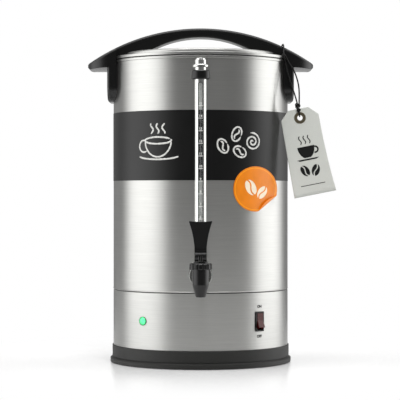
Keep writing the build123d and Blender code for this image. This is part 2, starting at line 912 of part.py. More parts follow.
def make_union_nut():
    """Knurled ring that clamps the tap's stub to the shank."""
    back = stub_back_y + union_overlap
    front = back - union_length
    ring = rod_y(union_radius, front, back, 0, tap_z)
    ring = fillet(ring.edges().filter_by(GeomType.CIRCLE), union_round)
    ring -= rod_y(stub_radius, front - 1, stub_back_y, 0, tap_z)
    ring -= rod_y(shank_radius, stub_back_y - 1, back + 1, 0, tap_z)
    knurl_ring = union_radius + union_knurl_radius / 2
    for i in range(union_knurls):
        angle = math.radians(360.0 / union_knurls * i)
        x = knurl_ring * math.cos(angle)
        z = tap_z + knurl_ring * math.sin(angle)
        ring -= rod_y(union_knurl_radius, front + 2 * union_round, back + 1, x, z)
    return ring


def make_tap_body():
    """Moulded valve body: inlet stub, chamber, seat and tapered spout."""
    body = turned([
        (0, spout_z),
        (spout_radius - edge_round, spout_z),
        (spout_radius, spout_z + edge_round),
        (tap_radius, taper_z - taper_shoulder),
        (tap_radius, tap_top_z),
        (0, tap_top_z),
    ], tap_y)
    body += rod_y(stub_radius, tap_y, stub_back_y, 0, tap_z)
    body -= rod(tap_bore, taper_z, tap_top_z, 0, tap_y)
    body -= rod(spout_bore, spout_z, taper_z, 0, tap_y)
    body -= rod_y(shank_bore, tap_y, stub_back_y, 0, tap_z)
    return body - rod_y(shank_radius + running_gap, stub_back_y - stub_socket, stub_back_y, 0, tap_z)


def make_tap_bonnet():
    """Fluted screw cap of the valve, with the pocket of the closing spring."""
    bonnet = turned([
        (0, tap_top_z),
        (bonnet_radius - bonnet_round, tap_top_z),
        (bonnet_radius, tap_top_z + bonnet_round),
        (bonnet_radius, bonnet_grip_z - 2 * bonnet_round),
        (bonnet_radius - 2 * bonnet_round, bonnet_grip_z),
        (bonnet_top_radius, bonnet_grip_z),
        (bonnet_top_radius, bonnet_top_z - edge_round),
        (bonnet_top_radius - edge_round, bonnet_top_z),
        (0, bonnet_top_z),
    ], tap_y)
    flute = rod(bonnet_flute_radius, tap_top_z - 1, bonnet_top_z)
    for piece in around(bonnet_flutes, bonnet_radius + bonnet_flute_out, flute, tap_y):
        bonnet -= piece
    skirt_low = tap_top_z - bonnet_skirt
    outer = tap_bore - running_gap
    bonnet += tube(outer, outer - bonnet_skirt_wall, skirt_low, tap_top_z, 0, tap_y)
    bonnet -= rod(spring_pocket_radius, tap_top_z, spring_pocket_z, 0, tap_y)
    return bonnet - rod(stem_radius + running_gap, tap_top_z, bonnet_top_z, 0, tap_y)


def make_tap_stem():
    """Steel valve stem with a spring plate; the lever's pin crosses its top."""
    stem = rod(stem_radius, stem_low_z, pin_z + pin_cap, 0, tap_y)
    stem += rod(stem_plate_radius, stem_plate_z, stem_plate_z + stem_plate, 0, tap_y)
    return stem - rod_x(pin_radius, -cut_past, cut_past, tap_y, pin_z)


def make_seat_cup():
    """Silicone cup on the stem that closes the spout's bore."""
    cup = turned([
        (0, taper_z),
        (seat_cup_radius - edge_round, taper_z),
        (seat_cup_radius, taper_z + edge_round),
        (seat_cup_radius, stem_low_z - seat_cup_step),
        (seat_cup_radius - seat_cup_step, stem_low_z),
        (seat_cup_radius - seat_cup_step, stem_plate_z),
        (0, stem_plate_z),
    ], tap_y)
    return cup - rod(stem_radius, stem_low_z, stem_plate_z, 0, tap_y)


def make_tap_spring():
    """Closing spring between the stem's plate and the bonnet."""
    low = stem_plate_z + stem_plate + spring_wire / 2
    height = spring_pocket_z - spring_wire / 2 - low
    path = Pos(0, tap_y, low) * Helix(height / spring_turns, height, spring_radius)
    return sweep(Plane(path ^ 0) * Circle(spring_wire / 2), path=path)


def make_tap_lever():
    """Paddle lever with a forked eccentric foot that rides on the bonnet."""
    half_foot = lever_foot_width / 2
    front = tap_y - lever_eccentric
    pair = Pos(front, pin_z) * Circle(lever_foot_radius)
    pair += Pos(tap_y, pin_z) * Circle(lever_foot_radius)
    foot = extrude(Plane.YZ * make_hull(pair.edges()), amount=half_foot, both=True)
    half_top = lever_top_width / 2
    half_mid = lever_mid_width / 2
    middle_z = (lever_waist_z + lever_top_z) / 2
    outline = ThreePointArc((half_foot, lever_waist_z), (half_mid, middle_z), (half_top, lever_top_z))
    outline += ThreePointArc((half_top, lever_top_z), (0, lever_top_z - lever_dip), (-half_top, lever_top_z))
    outline += ThreePointArc((-half_top, lever_top_z), (-half_mid, middle_z), (-half_foot, lever_waist_z))
    outline += Polyline(
        (-half_foot, lever_waist_z), (-half_foot, pin_z), (half_foot, pin_z), (half_foot, lever_waist_z)
    )
    paddle = Plane.XZ * make_face(outline)
    paddle = Pos(0, tap_y, 0) * extrude(paddle, amount=lever_thickness / 2, both=True)
    paddle = fillet(edges_at(paddle, lambda p: p.Z > lever_waist_z + 0.1), lever_round)
    neck_back = tap_y + lever_thickness / 2
    neck = block(-half_foot, half_foot, front - 1, neck_back, pin_z, lever_waist_z - lever_neck_drop)
    lever = foot + paddle + neck
    low = pin_z - 2 * lever_foot_radius
    back = tap_y + 2 * lever_foot_radius
    slot_front = tap_y - stem_radius - running_gap
    half_slot = lever_slot / 2
    lever -= block(-half_slot, half_slot, slot_front, back, low, pin_z + lever_slot_rise)
    mouth = tap_y - 3 * lever_foot_radius
    lever -= block(-half_slot, half_slot, mouth, slot_front, low, pin_z + lever_slot_front_rise)
    return lever - rod_x(pin_radius + running_gap, -half_foot, half_foot, tap_y, pin_z)


def make_lever_pin():
    """Pivot pin of the lever, pressed through the stem."""
    half = lever_foot_width / 2
    return rod_x(pin_radius, -half, half, tap_y, pin_z)


# ---------------------------------------------------------------- level gauge
def make_gauge_glass():
    """Glass tube that shows how full the tank is."""
    low = gauge_boss_z - gauge_socket + gauge_socket_play
    return tube(glass_radius, glass_bore, low, glass_top_z, 0, gauge_y)


def make_gauge_seals():
    """Silicone rings round the glass: one on the shank's boss, one under the top bushing's roof."""
    outer = gauge_boss_radius - seal_play
    low = tube(outer, glass_radius, gauge_boss_z, gauge_boss_z + seal_height, 0, gauge_y)
    high_z = glass_top_z - seal_height
    high = tube(glass_radius + seal_width, glass_radius, high_z, glass_top_z, 0, gauge_y)
    return [low, high]


def make_gauge_nut():
    """Knurled nut that squeezes the lower seal and carries the shield."""
    nut = rod(gauge_nut_radius, gauge_nut_low_z, gauge_nut_high_z, 0, gauge_y)
    lip_low = gauge_boss_z + seal_height
    nut -= rod(gauge_boss_radius + running_gap, gauge_nut_low_z, lip_low, 0, gauge_y)
    nut -= rod(glass_radius + gauge_nut_gap, lip_low, lip_low + gauge_lip, 0, gauge_y)
    nut -= rod(shield_radius + running_gap, lip_low + gauge_lip, gauge_nut_high_z, 0, gauge_y)
    knurl_low = gauge_nut_low_z + gauge_knurl_inset
    knurl = rod(gauge_knurl_radius, knurl_low, gauge_nut_high_z - gauge_knurl_inset)
    for piece in around(gauge_knurls, gauge_nut_radius + gauge_knurl_radius / 2, knurl, gauge_y):
        nut -= piece
    return nut


def make_gauge_shield():
    """Plated tube round the glass with a long window right through, front and back."""
    low = gauge_boss_z + seal_height + gauge_lip
    high = bushing_low_z + shield_entry
    shield = tube(shield_radius, shield_radius - shield_wall, low, high, 0, gauge_y)
    half = shield_slot / 2
    front = gauge_y - shield_radius - 1
    back = gauge_y + shield_radius + 1
    window = block(-half, half, front, back, shield_slot_low_z + half, shield_slot_high_z - half)
    window += rod_y(half, front, back, 0, shield_slot_low_z + half)
    window += rod_y(half, front, back, 0, shield_slot_high_z - half)
    return shield - window


def make_gauge_bushing():
    """Black bushing that joins glass, shield and cap."""
    bushing = turned([
        (0, bushing_low_z),
        (bushing_radius - bushing_round, bushing_low_z),
        (bushing_radius, bushing_low_z + bushing_round),
        (bushing_radius, bushing_high_z - bushing_round),
        (bushing_radius - bushing_round, bushing_high_z),
        (0, bushing_high_z),
    ], gauge_y)
    entry_top = bushing_low_z + shield_entry
    inner = shield_radius - shield_wall - running_gap
    bushing -= tube(shield_radius + running_gap, inner, bushing_low_z, entry_top, 0, gauge_y)
    bushing -= rod(glass_radius + running_gap, bushing_low_z, glass_top_z, 0, gauge_y)
    bushing -= rod(glass_radius + seal_width, glass_top_z - seal_height, glass_top_z, 0, gauge_y)
    return bushing - rod(glass_bore, bushing_low_z, bushing_high_z, 0, gauge_y)


def make_gauge_cap():
    """Plated cap with a collar and a breathing hole."""
    cap = turned([
        (0, bushing_high_z),
        (cap_radius, bushing_high_z),
        (cap_radius, cap_collar_low_z),
        (cap_collar_radius - cap_collar_round, cap_collar_low_z),
        (cap_collar_radius, cap_collar_low_z + cap_collar_round),
        (cap_collar_radius, cap_collar_high_z - cap_collar_round),
        (cap_collar_radius - cap_collar_round, cap_collar_high_z),
        (cap_radius, cap_collar_high_z),
        (cap_radius, cap_top_z - cap_round),
        (cap_radius - cap_round / 3, cap_top_z - cap_round / 3),
        (cap_radius - cap_round, cap_top_z),
        (0, cap_top_z),
    ], gauge_y)
    return cap - rod(cap_vent, bushing_high_z, cap_top_z, 0, gauge_y)


# ---------------------------------------------------------------- lamp, switch and inlet
def make_lamp_lens():
    """Green dome of the ready lamp."""
    rise = lamp_proud - lamp_bezel
    sphere = arc_radius(lamp_radius, rise)
    dome = Pos(0, 0, lamp_proud - sphere) * Sphere(sphere)
    dome &= Pos(0, 0, lamp_bezel + rise / 2) * Cylinder(lamp_radius, rise)
    return on_wall(lamp_azimuth, lamp_z) * (dome + lamp_stem())


def lamp_stem():
    """Stem of the lens in its holder, standing on the wall."""
    middle = (lamp_bezel - lamp_stem_depth) / 2
    return Pos(0, 0, middle) * Cylinder(lamp_radius - lamp_stem_wall, lamp_bezel + lamp_stem_depth)


def make_lamp_holder():
    """Lamp body behind the shell, with a thin bezel and two soldering tags."""
    body = Pos(0, 0, -lamp_depth / 2) * Cylinder(lamp_body_radius, lamp_depth)
    middle = (lamp_bezel - lamp_bezel_sink) / 2
    bezel = Pos(0, 0, middle) * Cylinder(lamp_bezel_radius, lamp_bezel + lamp_bezel_sink)
    bezel -= Pos(0, 0, -tank_radius) * Rot(90, 0, 0) * Cylinder(tank_radius, 4 * lamp_bezel_radius)
    holder = body + Pos(0, 0, lamp_bezel / 2) * Cylinder(lamp_body_radius, lamp_bezel) + bezel
    tag = Box(lamp_tag_thickness, lamp_tag_width, lamp_tag_length)
    for x in (-lamp_tag_x, lamp_tag_x):
        holder += Pos(x, 0, -lamp_depth - lamp_tag_length / 2) * tag
    return on_wall(lamp_azimuth, lamp_z) * (holder - lamp_stem())


def switch_opening():
    """Width and height of the well that the rocker sits in."""
    trim = 2 * (bezel_overlap + switch_wall)
    return switch_width - trim, switch_height - trim


def make_switch_housing():
    """Snap-in switch body with its bezel on the curved shell."""
    width, height = switch_opening()
    bezel = Box(switch_width, switch_height, 2 * switch_bezel)
    bezel = fillet(bezel.edges().filter_by(Axis.Z), switch_corner)
    bezel -= Pos(0, 0, -tank_radius) * Rot(90, 0, 0) * Cylinder(tank_radius, 2 * switch_height)
    body = Pos(0, 0, (switch_bezel - switch_depth) / 2) * Box(
        width + 2 * switch_wall, height + 2 * switch_wall, switch_depth + switch_bezel
    )
    housing = bezel + body
    pocket = rocker_pin_depth + rocker_hub_radius + rocker_gap
    housing -= Pos(0, 0, (switch_bezel - pocket) / 2) * Box(width, height, pocket + switch_bezel)
    hole = Rot(0, 90, 0) * Cylinder(rocker_pin_radius + running_gap, width + switch_wall)
    housing -= Pos(0, 0, -rocker_pin_depth) * hole
    return on_wall(switch_azimuth, switch_z) * housing


def make_switch_rocker():
    """Rocker with two flat faces at a shallow angle, its upper half pressed in."""
    width, height = switch_opening()
    half = height / 2 - rocker_gap
    face = rocker_pin_depth + switch_bezel + rocker_proud
    lift = half * math.tan(math.radians(rocker_tilt))
    outline = Polyline(
        (-half, -rocker_back),
        (-half, face + lift),
        (0, face),
        (half, face + lift),
        (half, -rocker_back),
        close=True,
    )
    side = extrude(Plane.YZ * make_face(outline), amount=width / 2 - rocker_gap, both=True)
    for turn in (-rocker_tilt, rocker_tilt):
        side &= Rot(turn, 0, 0) * Box(width, 2 * half, 2 * switch_depth)
    hub = Rot(0, 90, 0) * Cylinder(rocker_hub_radius, width - 2 * rocker_gap)
    pins = Rot(0, 90, 0) * Cylinder(rocker_pin_radius, width + switch_wall - 2 * running_gap)
    rocker = Rot(-rocker_tilt, 0, 0) * (side + hub + pins)
    return on_wall(switch_azimuth, switch_z) * Pos(0, 0, -rocker_pin_depth) * rocker


def make_switch_tabs():
    """Four push-on tabs at the back of the switch."""
    tabs = []
    for x in (-1, 1):
        for y in (-1, 1):
            place = Pos(x * tab_x, y * tab_y, -switch_depth - tab_length / 2)
            tab = place * Box(tab_thickness, tab_width, tab_length)
            tabs.append(on_wall(switch_azimuth, switch_z) * tab)
    return tabs


def make_inlet():
    """Mains inlet socket behind, with its flange on the curved shell."""
    flange = Box(inlet_flange_width, inlet_flange_height, 2 * inlet_flange)
    flange = fillet(flange.edges().filter_by(Axis.Z), inlet_corner)
    deep = Box(inlet_flange_width, inlet_flange_height, inlet_flange_sink)
    deep = fillet(deep.edges().filter_by(Axis.Z), inlet_corner)
    flange += Pos(0, 0, -inlet_flange_sink / 2) * deep
    flange -= Pos(0, 0, -tank_radius) * Rot(90, 0, 0) * Cylinder(tank_radius, 2 * inlet_flange_height)
    body = Pos(0, 0, (inlet_flange - inlet_depth) / 2) * Box(
        inlet_width, inlet_height, inlet_depth + inlet_flange
    )
    inlet = flange + body
    pocket = Box(inlet_width - 2 * inlet_wall, inlet_height - 2 * inlet_wall, inlet_pocket)
    inlet -= Pos(0, 0, inlet_flange - inlet_pocket / 2) * pocket
    for side in (-1, 1):
        hole = Cylinder(inlet_screw_radius + inlet_screw_play, 4 * cut_past)
        inlet -= Pos(side * inlet_screw_spacing / 2, 0, 0) * hole
    for x, y in inlet_pin_places():
        hole = Box(inlet_pin_thickness, inlet_pin_width, inlet_depth)
        inlet -= Pos(x, y, -inlet_depth / 2 - inlet_wall) * hole
    return on_wall(180, inlet_z) * inlet


def inlet_pin_places():
    """Places of the three inlet pins in the socket, earth pin highest."""
    spacing = inlet_pin_spacing
    return [(-spacing, -inlet_pin_rise), (0, inlet_pin_rise), (spacing, -inlet_pin_rise)]


def make_inlet_pins():
    """Three flat pins that pass through the back of the inlet as soldering tags."""
    pins = []
    high = inlet_flange - inlet_pin_inset
    low = -inlet_depth - inlet_tag_length
    for x, y in inlet_pin_places():
        pin = Box(inlet_pin_thickness, inlet_pin_width, high - low)
        pins.append(on_wall(180, inlet_z) * Pos(x, y, (high + low) / 2) * pin)
    return pins


def make_inlet_screws():
    """Two self-tapping screws that hold the inlet's flange to the shell."""
    screws = []
    for side in (-1, 1):
        length = inlet_flange + inlet_screw_grip
        screw = Pos(0, 0, inlet_flange - length / 2) * Cylinder(inlet_screw_radius, length)
        head = Pos(0, 0, inlet_flange + inlet_head / 2) * Cylinder(inlet_head_radius, inlet_head)
        place = on_wall(180, inlet_z) * Pos(side * inlet_screw_spacing / 2, 0, 0)
        screws.append(place * (screw + head))
    return screws


# ---------------------------------------------------------------- heating parts
def make_heater_block():
    """Aluminium block with the main element cast in, round the well under the tank."""
    outer = well_radius + sheet + block_gap + block_wall
    heater = rod(outer, block_low_z, block_high_z)
    heater -= rod(well_radius + sheet + block_gap, well_floor_z - sheet, block_high_z)
    heater -= rod(stud_radius + block_gap, block_low_z, well_floor_z)
    for angle in (thermostat_azimuth, cutout_azimuth):
        cut = Pos(0, -sensor_flat - 2 * cut_past, 0) * Box(8 * cut_past, 4 * cut_past, 4 * block_drop)
        heater -= Pos(0, 0, sensor_z) * Rot(0, 0, angle) * cut
    return heater


def make_heater_nut():
    """Nut on the tank's stud that holds the heater block up."""
    nut = RegularPolygon(heater_nut_flats / 2, 6, major_radius=False)
    nut = extrude(nut, amount=heater_nut_thickness)
    nut = Pos(0, 0, block_low_z - heater_nut_thickness) * nut
    return nut - rod(stud_radius, block_low_z - heater_nut_thickness, block_low_z)


def make_keep_warm_mat():
    """Flat ring-shaped element under the tank floor that keeps the coffee hot."""
    top = floor_z - sheet
    return tube(mat_outer, mat_inner, top - mat_thickness, top)


def make_sensor(azimuth, height):
    """Round temperature switch on a flat of the heater block, with two tabs."""
    can = Pos(0, 0, thermostat_length / 2) * Cylinder(thermostat_radius, thermostat_length)
    for x in (-1, 1):
        tab = Box(tab_thickness, tab_width, sensor_tab_length)
        can += Pos(x * sensor_tab_x, 0, thermostat_length + sensor_tab_length / 2) * tab
    return on_wall(azimuth, height, sensor_flat) * can


def make_terminal_block():
    """Screw terminal block standing on the bottom plate."""
    low = plate_z + plate_thickness
    half = terminal_length / 2
    shape = block(
        terminal_x - half, terminal_x + half,
        terminal_y - terminal_width / 2, terminal_y + terminal_width / 2,
        low, low + terminal_height,
    )
    for x in terminal_places():
        shape -= rod(terminal_bore, low + terminal_floor, low + terminal_height, x, terminal_y)
    return shape


def terminal_places():
    """X of each screw of the terminal block."""
    pitch = terminal_length / terminal_count
    first = terminal_x - terminal_length / 2 + pitch / 2
    return [first + i * pitch for i in range(terminal_count)]


def make_terminal_screws():
    """Brass clamping screws in the terminal block."""
    low = plate_z + plate_thickness + terminal_floor
    high = plate_z + plate_thickness + terminal_height - terminal_screw_drop
    side = terminal_bore
    half = bottom_slot_width / 2
    screws = []
    for x in terminal_places():
        screw = rod(terminal_bore - terminal_screw_play, low, high, x, terminal_y)
        slot_low = high - bottom_slot_depth
        screws.append(screw - block(x - side, x + side, terminal_y - half, terminal_y + half, slot_low, high))
    return screws


def wire(points):
    """Insulated wire along straight runs joined by arcs as large as the runs allow."""
    spots = [Vector(*p) for p in points]
    runs = [b - a for a, b in zip(spots, spots[1:])]
    radii = []
    for first, second in zip(runs, runs[1:]):
        half_turn = math.radians(first.get_angle(second)) / 2
        radii.append(0.45 * min(first.length, second.length) / math.tan(half_turn))
    path = FilletPolyline(*points, radius=radii)
    return path, radii


def make_string():
    """String of the swing tag: up one strand, once round the lid handle and down the other."""
    path, radii = wire(string_route())
    print("string radii", [round(r, 1) for r in radii])
    cord = sweep(Plane(path ^ 0) * Circle(string_radius), path=path)
    print("string length", round(path.length, 1), "volume ratio",
          round(cord.volume / (math.pi * string_radius**2 * path.length), 4))
    return cord


# ---------------------------------------------------------------- percolator
def make_pump_stem():
    """Percolator tube on its bell foot, with a collar that carries the basket."""
    stem = rod(stem_tube_radius, foot_top_z - 1, stem_tube_top_z)
    stem += rod(foot_radius, well_floor_z, foot_top_z)
    stem -= rod(foot_radius - sheet, well_floor_z, foot_top_z - sheet)
    stop_z = foot_top_z + valve_thickness + valve_travel
    stem += rod(stem_tube_radius + valve_stop, stop_z, stop_z + valve_stop)
    stem += rod(basket_collar_radius, basket_low_z - basket_collar, basket_low_z)
    stem -= rod(tube_bore, well_floor_z, stem_tube_top_z)
    port = rod(foot_port_radius, foot_top_z - sheet, foot_top_z)
    for piece in around(foot_port_count, foot_port_ring, port):
        stem -= piece
    inflow_z = well_floor_z + foot_inflow_rise
    inflow = rod_x(foot_inflow_radius, -foot_radius - 1, foot_radius + 1, 0, inflow_z)
    for turn in (0, 60, 120):
        stem -= Rot(0, 0, turn) * inflow
    return stem


def make_pump_valve():
    """Loose disc that lets water into the foot and stops it running back."""
    inner = stem_tube_radius + valve_gap
    return tube(valve_radius, inner, foot_top_z, foot_top_z + valve_thickness)


def brew_holes(low, high):
    """Rings of small holes shared by the basket's floor and its cover."""
    holes = []
    for i in range(brew_rings):
        radius = brew_first_ring + i * brew_ring_step
        count = brew_first_count + brew_count_step * i
        holes += around(count, radius, rod(brew_hole_radius, low, high))
    return holes


def make_basket():
    """Perforated steel basket for the ground coffee, on a central sleeve."""
    basket = turned([
        (stem_tube_radius + sleeve_gap, basket_low_z),
        (basket_radius, basket_low_z),
        (basket_radius, basket_high_z - basket_rim),
        (basket_radius + basket_rim, basket_high_z - basket_rim),
        (basket_radius + basket_rim, basket_high_z),
        (basket_radius - sheet, basket_high_z),
        (basket_radius - sheet, basket_low_z + sheet),
        (stem_tube_radius + sleeve_gap + sheet, basket_low_z + sheet),
        (stem_tube_radius + sleeve_gap + sheet, sleeve_top_z),
        (stem_tube_radius + sleeve_gap, sleeve_top_z),
    ])
    return basket - brew_holes(basket_low_z, basket_low_z + sheet)


def make_basket_cover():
    """Perforated spreader on the basket's rim, dished so that water runs inwards."""
    inner = stem_tube_radius + sleeve_gap
    dish_z = basket_high_z - cover_dish
    edge = basket_radius - sheet - cover_play
    cover = turned([
        (inner, dish_z),
        (edge, dish_z),
        (edge, basket_high_z),
        (basket_radius + basket_rim, basket_high_z),
        (basket_radius + basket_rim, basket_high_z + sheet),
        (edge - sheet, basket_high_z + sheet),
        (edge - sheet, dish_z + sheet),
        (inner + sheet, dish_z + sheet),
        (inner + sheet, basket_high_z + cover_lip),
        (inner, basket_high_z + cover_lip),
    ])
    return cover - brew_holes(dish_z, dish_z + sheet)


# ---------------------------------------------------------------- swing tag
def tag_place():
    """Frame of the card: local X across it, local Y up it, from the middle of its top edge."""
    return Pos(tag_x, tag_y, tag_top_z) * Rot(90, 0, 0) * Rot(0, 0, tag_angle)


def make_swing_tag():
    """Card with two clipped corners and a punched hole."""
    half = tag_width / 2
    top = half - tag_chamfer_width
    card = make_face(Polyline(
        (-top, 0), (top, 0), (half, -tag_chamfer_length), (half, -tag_length),
        (-half, -tag_length), (-half, -tag_chamfer_length), close=True,
    ))
    card -= Pos(0, -eyelet_drop) * Circle(eyelet_hole + eyelet_wall)
    return tag_place() * extrude(card, amount=tag_card / 2, both=True)


def make_eyelet():
    """Brass eyelet pressed through the card's hole."""
    flange = Circle(eyelet_radius) - Circle(eyelet_hole)
    ring = extrude(flange, amount=eyelet_proud)
    barrel = Circle(eyelet_hole + eyelet_wall) - Circle(eyelet_hole)
    barrel = extrude(barrel, amount=tag_card / 2, both=True)
    eyelet = barrel + Pos(0, 0, tag_card / 2) * ring + Pos(0, 0, -tag_card / 2 - eyelet_proud) * ring
    return tag_place() * Pos(0, -eyelet_drop, 0) * eyelet


def make_knot():
    """Knot of the string, with the small bight that passes through the eyelet."""
    knot = tag_place() * Pos(0, -eyelet_drop + knot_rise, 0) * Sphere(knot_radius)
    low_lump = Pos(0, -eyelet_drop + knot_low_rise, bight_half_width + string_radius / 2)
    knot += tag_place() * low_lump * Sphere(knot_low_radius)
    low = -eyelet_drop + eyelet_hole / 2
    reach = (-eyelet_drop + knot_rise - low) / 2
    loop = Plane.YZ * Ellipse(reach, bight_half_width).edge()
    bight = sweep(Plane(loop ^ 0) * Circle(string_radius), path=loop)
    return knot + tag_place() * Pos(0, low + reach, 0) * bight


def string_route():
    """Route of the string, from the knot round the lid handle and back to the knot."""
    return [
        (141.5, -59.6, 380.6),
        (139.4, -58.6, 389.0),
        (136.4, -56.6, 399.0),
        (132.9, -54.4, 409.0),
        (129.2, -52.4, 421.0),
        (126.0, -50.8, 433.5),
        (123.4, -49.8, 446.0),
        (121.9, -49.2, 457.0),
        (121.9, -41.0, 460.2),
        (122.6, -30.0, 460.8),
        (123.5, -21.8, 463.2),
        (123.3, -19.8, 470.0),
        (122.9, -11.0, 473.0),
        (122.4, 10.0, 473.0),
        (121.9, 20.4, 470.0),
        (121.3, 22.0, 462.0),
        (120.7, 23.0, 455.0),
        (120.5, 14.0, 453.8),
        (120.4, -13.0, 454.0),
        (120.3, -30.0, 454.4),
        (121.0, -43.0, 455.6),
        (123.4, -48.0, 455.0),
        (127.0, -49.8, 447.0),
        (131.6, -50.4, 438.6),
        (136.8, -51.6, 431.0),
        (140.8, -53.6, 420.0),
        (143.3, -56.0, 409.5),
        (144.4, -58.2, 397.0),
        (143.9, -59.6, 381.0),
    ]


# ---------------------------------------------------------------- wiring inside the base
def wall_point(azimuth, height, local):
    """World point of a local point on the wall."""
    spot = (on_wall(azimuth, height) * Pos(*local)).position
    return (spot.X, spot.Y, spot.Z)


def wiring_routes():
    """Routes of the insulated wires: inlet to terminals, terminals to switch, lamp and heater."""
    low = plate_z + plate_thickness
    back = terminal_y + terminal_width / 2
    front = terminal_y - terminal_width / 2
    places = terminal_places()
    pin_end = -inlet_depth - inlet_tag_length
    tab_end = -switch_depth - tab_length
    routes = []
    for pin, terminal in ((0, 2), (2, 1)):
        x, y = inlet_pin_places()[pin]
        start = wall_point(180, inlet_z, (x, y, pin_end))
        routes.append([
            start,
            (start[0], start[1] - 8, start[2] - 1),
            (start[0] * 0.9, start[1] - 9, 30),
            (places[terminal], back + 9, 14),
            (places[terminal], back, low + 5),
        ])
    x, y = inlet_pin_places()[1]
    start = wall_point(180, inlet_z, (x, y, pin_end))
    routes.append([
        start,
        (start[0] + 1, start[1] - 8, start[2] + 1),
        (20, 90, 44),
        (34, 88, 24),
        (35, 87, low),
    ])
    for tab, terminal, side in ((-tab_x, 3, 1.0), (tab_x, 0, -0.6)):
        end = wall_point(switch_azimuth, switch_z, (tab, -tab_y, tab_end))
        before = wall_point(switch_azimuth, switch_z, (tab, -tab_y - 2, tab_end - 10))
        routes.append([
            (places[terminal], front, low + 5),
            (places[terminal] + side, front - 9, low + 6),
            (28 + 12 * side, 42, 18),
            (52 + 8 * side, 14, 26),
            (60 + 4 * side, -22, 38),
            before,
            end,
        ])
    lamp_tag_end = -lamp_depth - lamp_tag_length
    lamp_end = wall_point(lamp_azimuth, lamp_z, (lamp_tag_x, 0, lamp_tag_end))
    lamp_before = wall_point(lamp_azimuth, lamp_z, (lamp_tag_x, -2, lamp_tag_end - 10))
    routes.append([
        (places[1], front, low + 5),
        (places[1] - 1, front - 9, low + 6),
        (-30, 44, 16),
        (-54, 14, 26),
        (-60, -26, 42),
        lamp_before,
        lamp_end,
    ])
    for azimuth, x in ((thermostat_azimuth, 1), (cutout_azimuth, -1)):
        face = on_wall(azimuth, sensor_z, sensor_flat)
        reach = thermostat_length + sensor_tab_length
        spot = (face * Pos(sensor_tab_x * x, 0, reach)).position
        away = (face * Pos(sensor_tab_x * x, -2, reach + 8)).position
        far = places[2] + 3 if x > 0 else places[1] - 4
        routes.append([
            (places[2 if x > 0 else 0], front, low + 7),
            (far, front - 9, low + 10),
            (x * 40, 42, 40),
            (x * 58, 10, 66),
            (away.X, away.Y, away.Z),
            (spot.X, spot.Y, spot.Z),
        ])
    return routes


def make_wiring():
    """Insulated wires, each a tube along its route."""
    wires = []
    for points in wiring_routes():
        path, radii = wire(points)
        wires.append(sweep(Plane(path ^ 0) * Circle(wire_radius), path=path))
        print("wire length", round(path.length), "smallest bend", round(min(radii), 1))
    return wires


# ---------------------------------------------------------------- the whole urn
def build():
    """Every node of the urn by name."""
    return {
        "tank": make_tank(),
        "chalk_band": make_chalk_band(),
        "round_label": make_round_label(),
        "base_shell": make_base_shell(),
        "base_ring": make_base_ring(),
        "foot_ring": make_foot_ring(),
        "bottom_plate": make_bottom_plate(),
        "bottom_screws": make_bottom_screws(),
        "handle_left": make_side_handle(-1),
        "handle_right": make_side_handle(1),
        "handle_screws": make_handle_screws(),
        "handle_washers": make_handle_washers(),
        "lid_shell": make_lid_shell(),
        "lid_handle": make_lid_handle(),
        "lid_screws": make_lid_screws(),
        "lid_washers": make_lid_washers(),
        "tap_shank": make_tap_shank(),
        "tap_gaskets": make_tap_gaskets(),
        "tank_nut": make_tank_nut(),
        "union_nut": make_union_nut(),
        "tap_body": make_tap_body(),
        "tap_bonnet": make_tap_bonnet(),
        "tap_stem": make_tap_stem(),
        "seat_cup": make_seat_cup(),
        "tap_spring": make_tap_spring(),
        "tap_lever": make_tap_lever(),
        "lever_pin": make_lever_pin(),
        "gauge_glass": make_gauge_glass(),
        "gauge_seals": make_gauge_seals(),
        "gauge_nut": make_gauge_nut(),
        "gauge_shield": make_gauge_shield(),
        "gauge_bushing": make_gauge_bushing(),
        "gauge_cap": make_gauge_cap(),
        "lamp_lens": make_lamp_lens(),
        "lamp_holder": make_lamp_holder(),
        "switch_housing": make_switch_housing(),
        "switch_rocker": make_switch_rocker(),
        "switch_tabs": make_switch_tabs(),
        "inlet_socket": make_inlet(),
        "inlet_pins": make_inlet_pins(),
        "inlet_screws": make_inlet_screws(),
        "heater_block": make_heater_block(),
        "heater_nut": make_heater_nut(),
        "keep_warm_mat": make_keep_warm_mat(),
        "thermostat": make_sensor(thermostat_azimuth, sensor_z),
        "thermal_cutout": make_sensor(cutout_azimuth, sensor_z),
        "terminal_block": make_terminal_block(),
        "terminal_screws": make_terminal_screws(),
        "wiring": make_wiring(),
        "pump_stem": make_pump_stem(),
        "pump_valve": make_pump_valve(),
        "basket": make_basket(),
        "basket_cover": make_basket_cover(),
        "swing_tag": make_swing_tag(),
        "tag_eyelet": make_eyelet(),
        "tag_string": make_string(),
        "tag_knot": make_knot(),
    }


os.makedirs("parts", exist_ok=True)
for name, shape in build().items():
    solids = Compound(children=list(shape)) if isinstance(shape, list) else shape
    export_step(solids, f"parts/{name}.step")
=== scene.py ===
"""Looks of a percolator coffee urn, laid over its packed construction."""

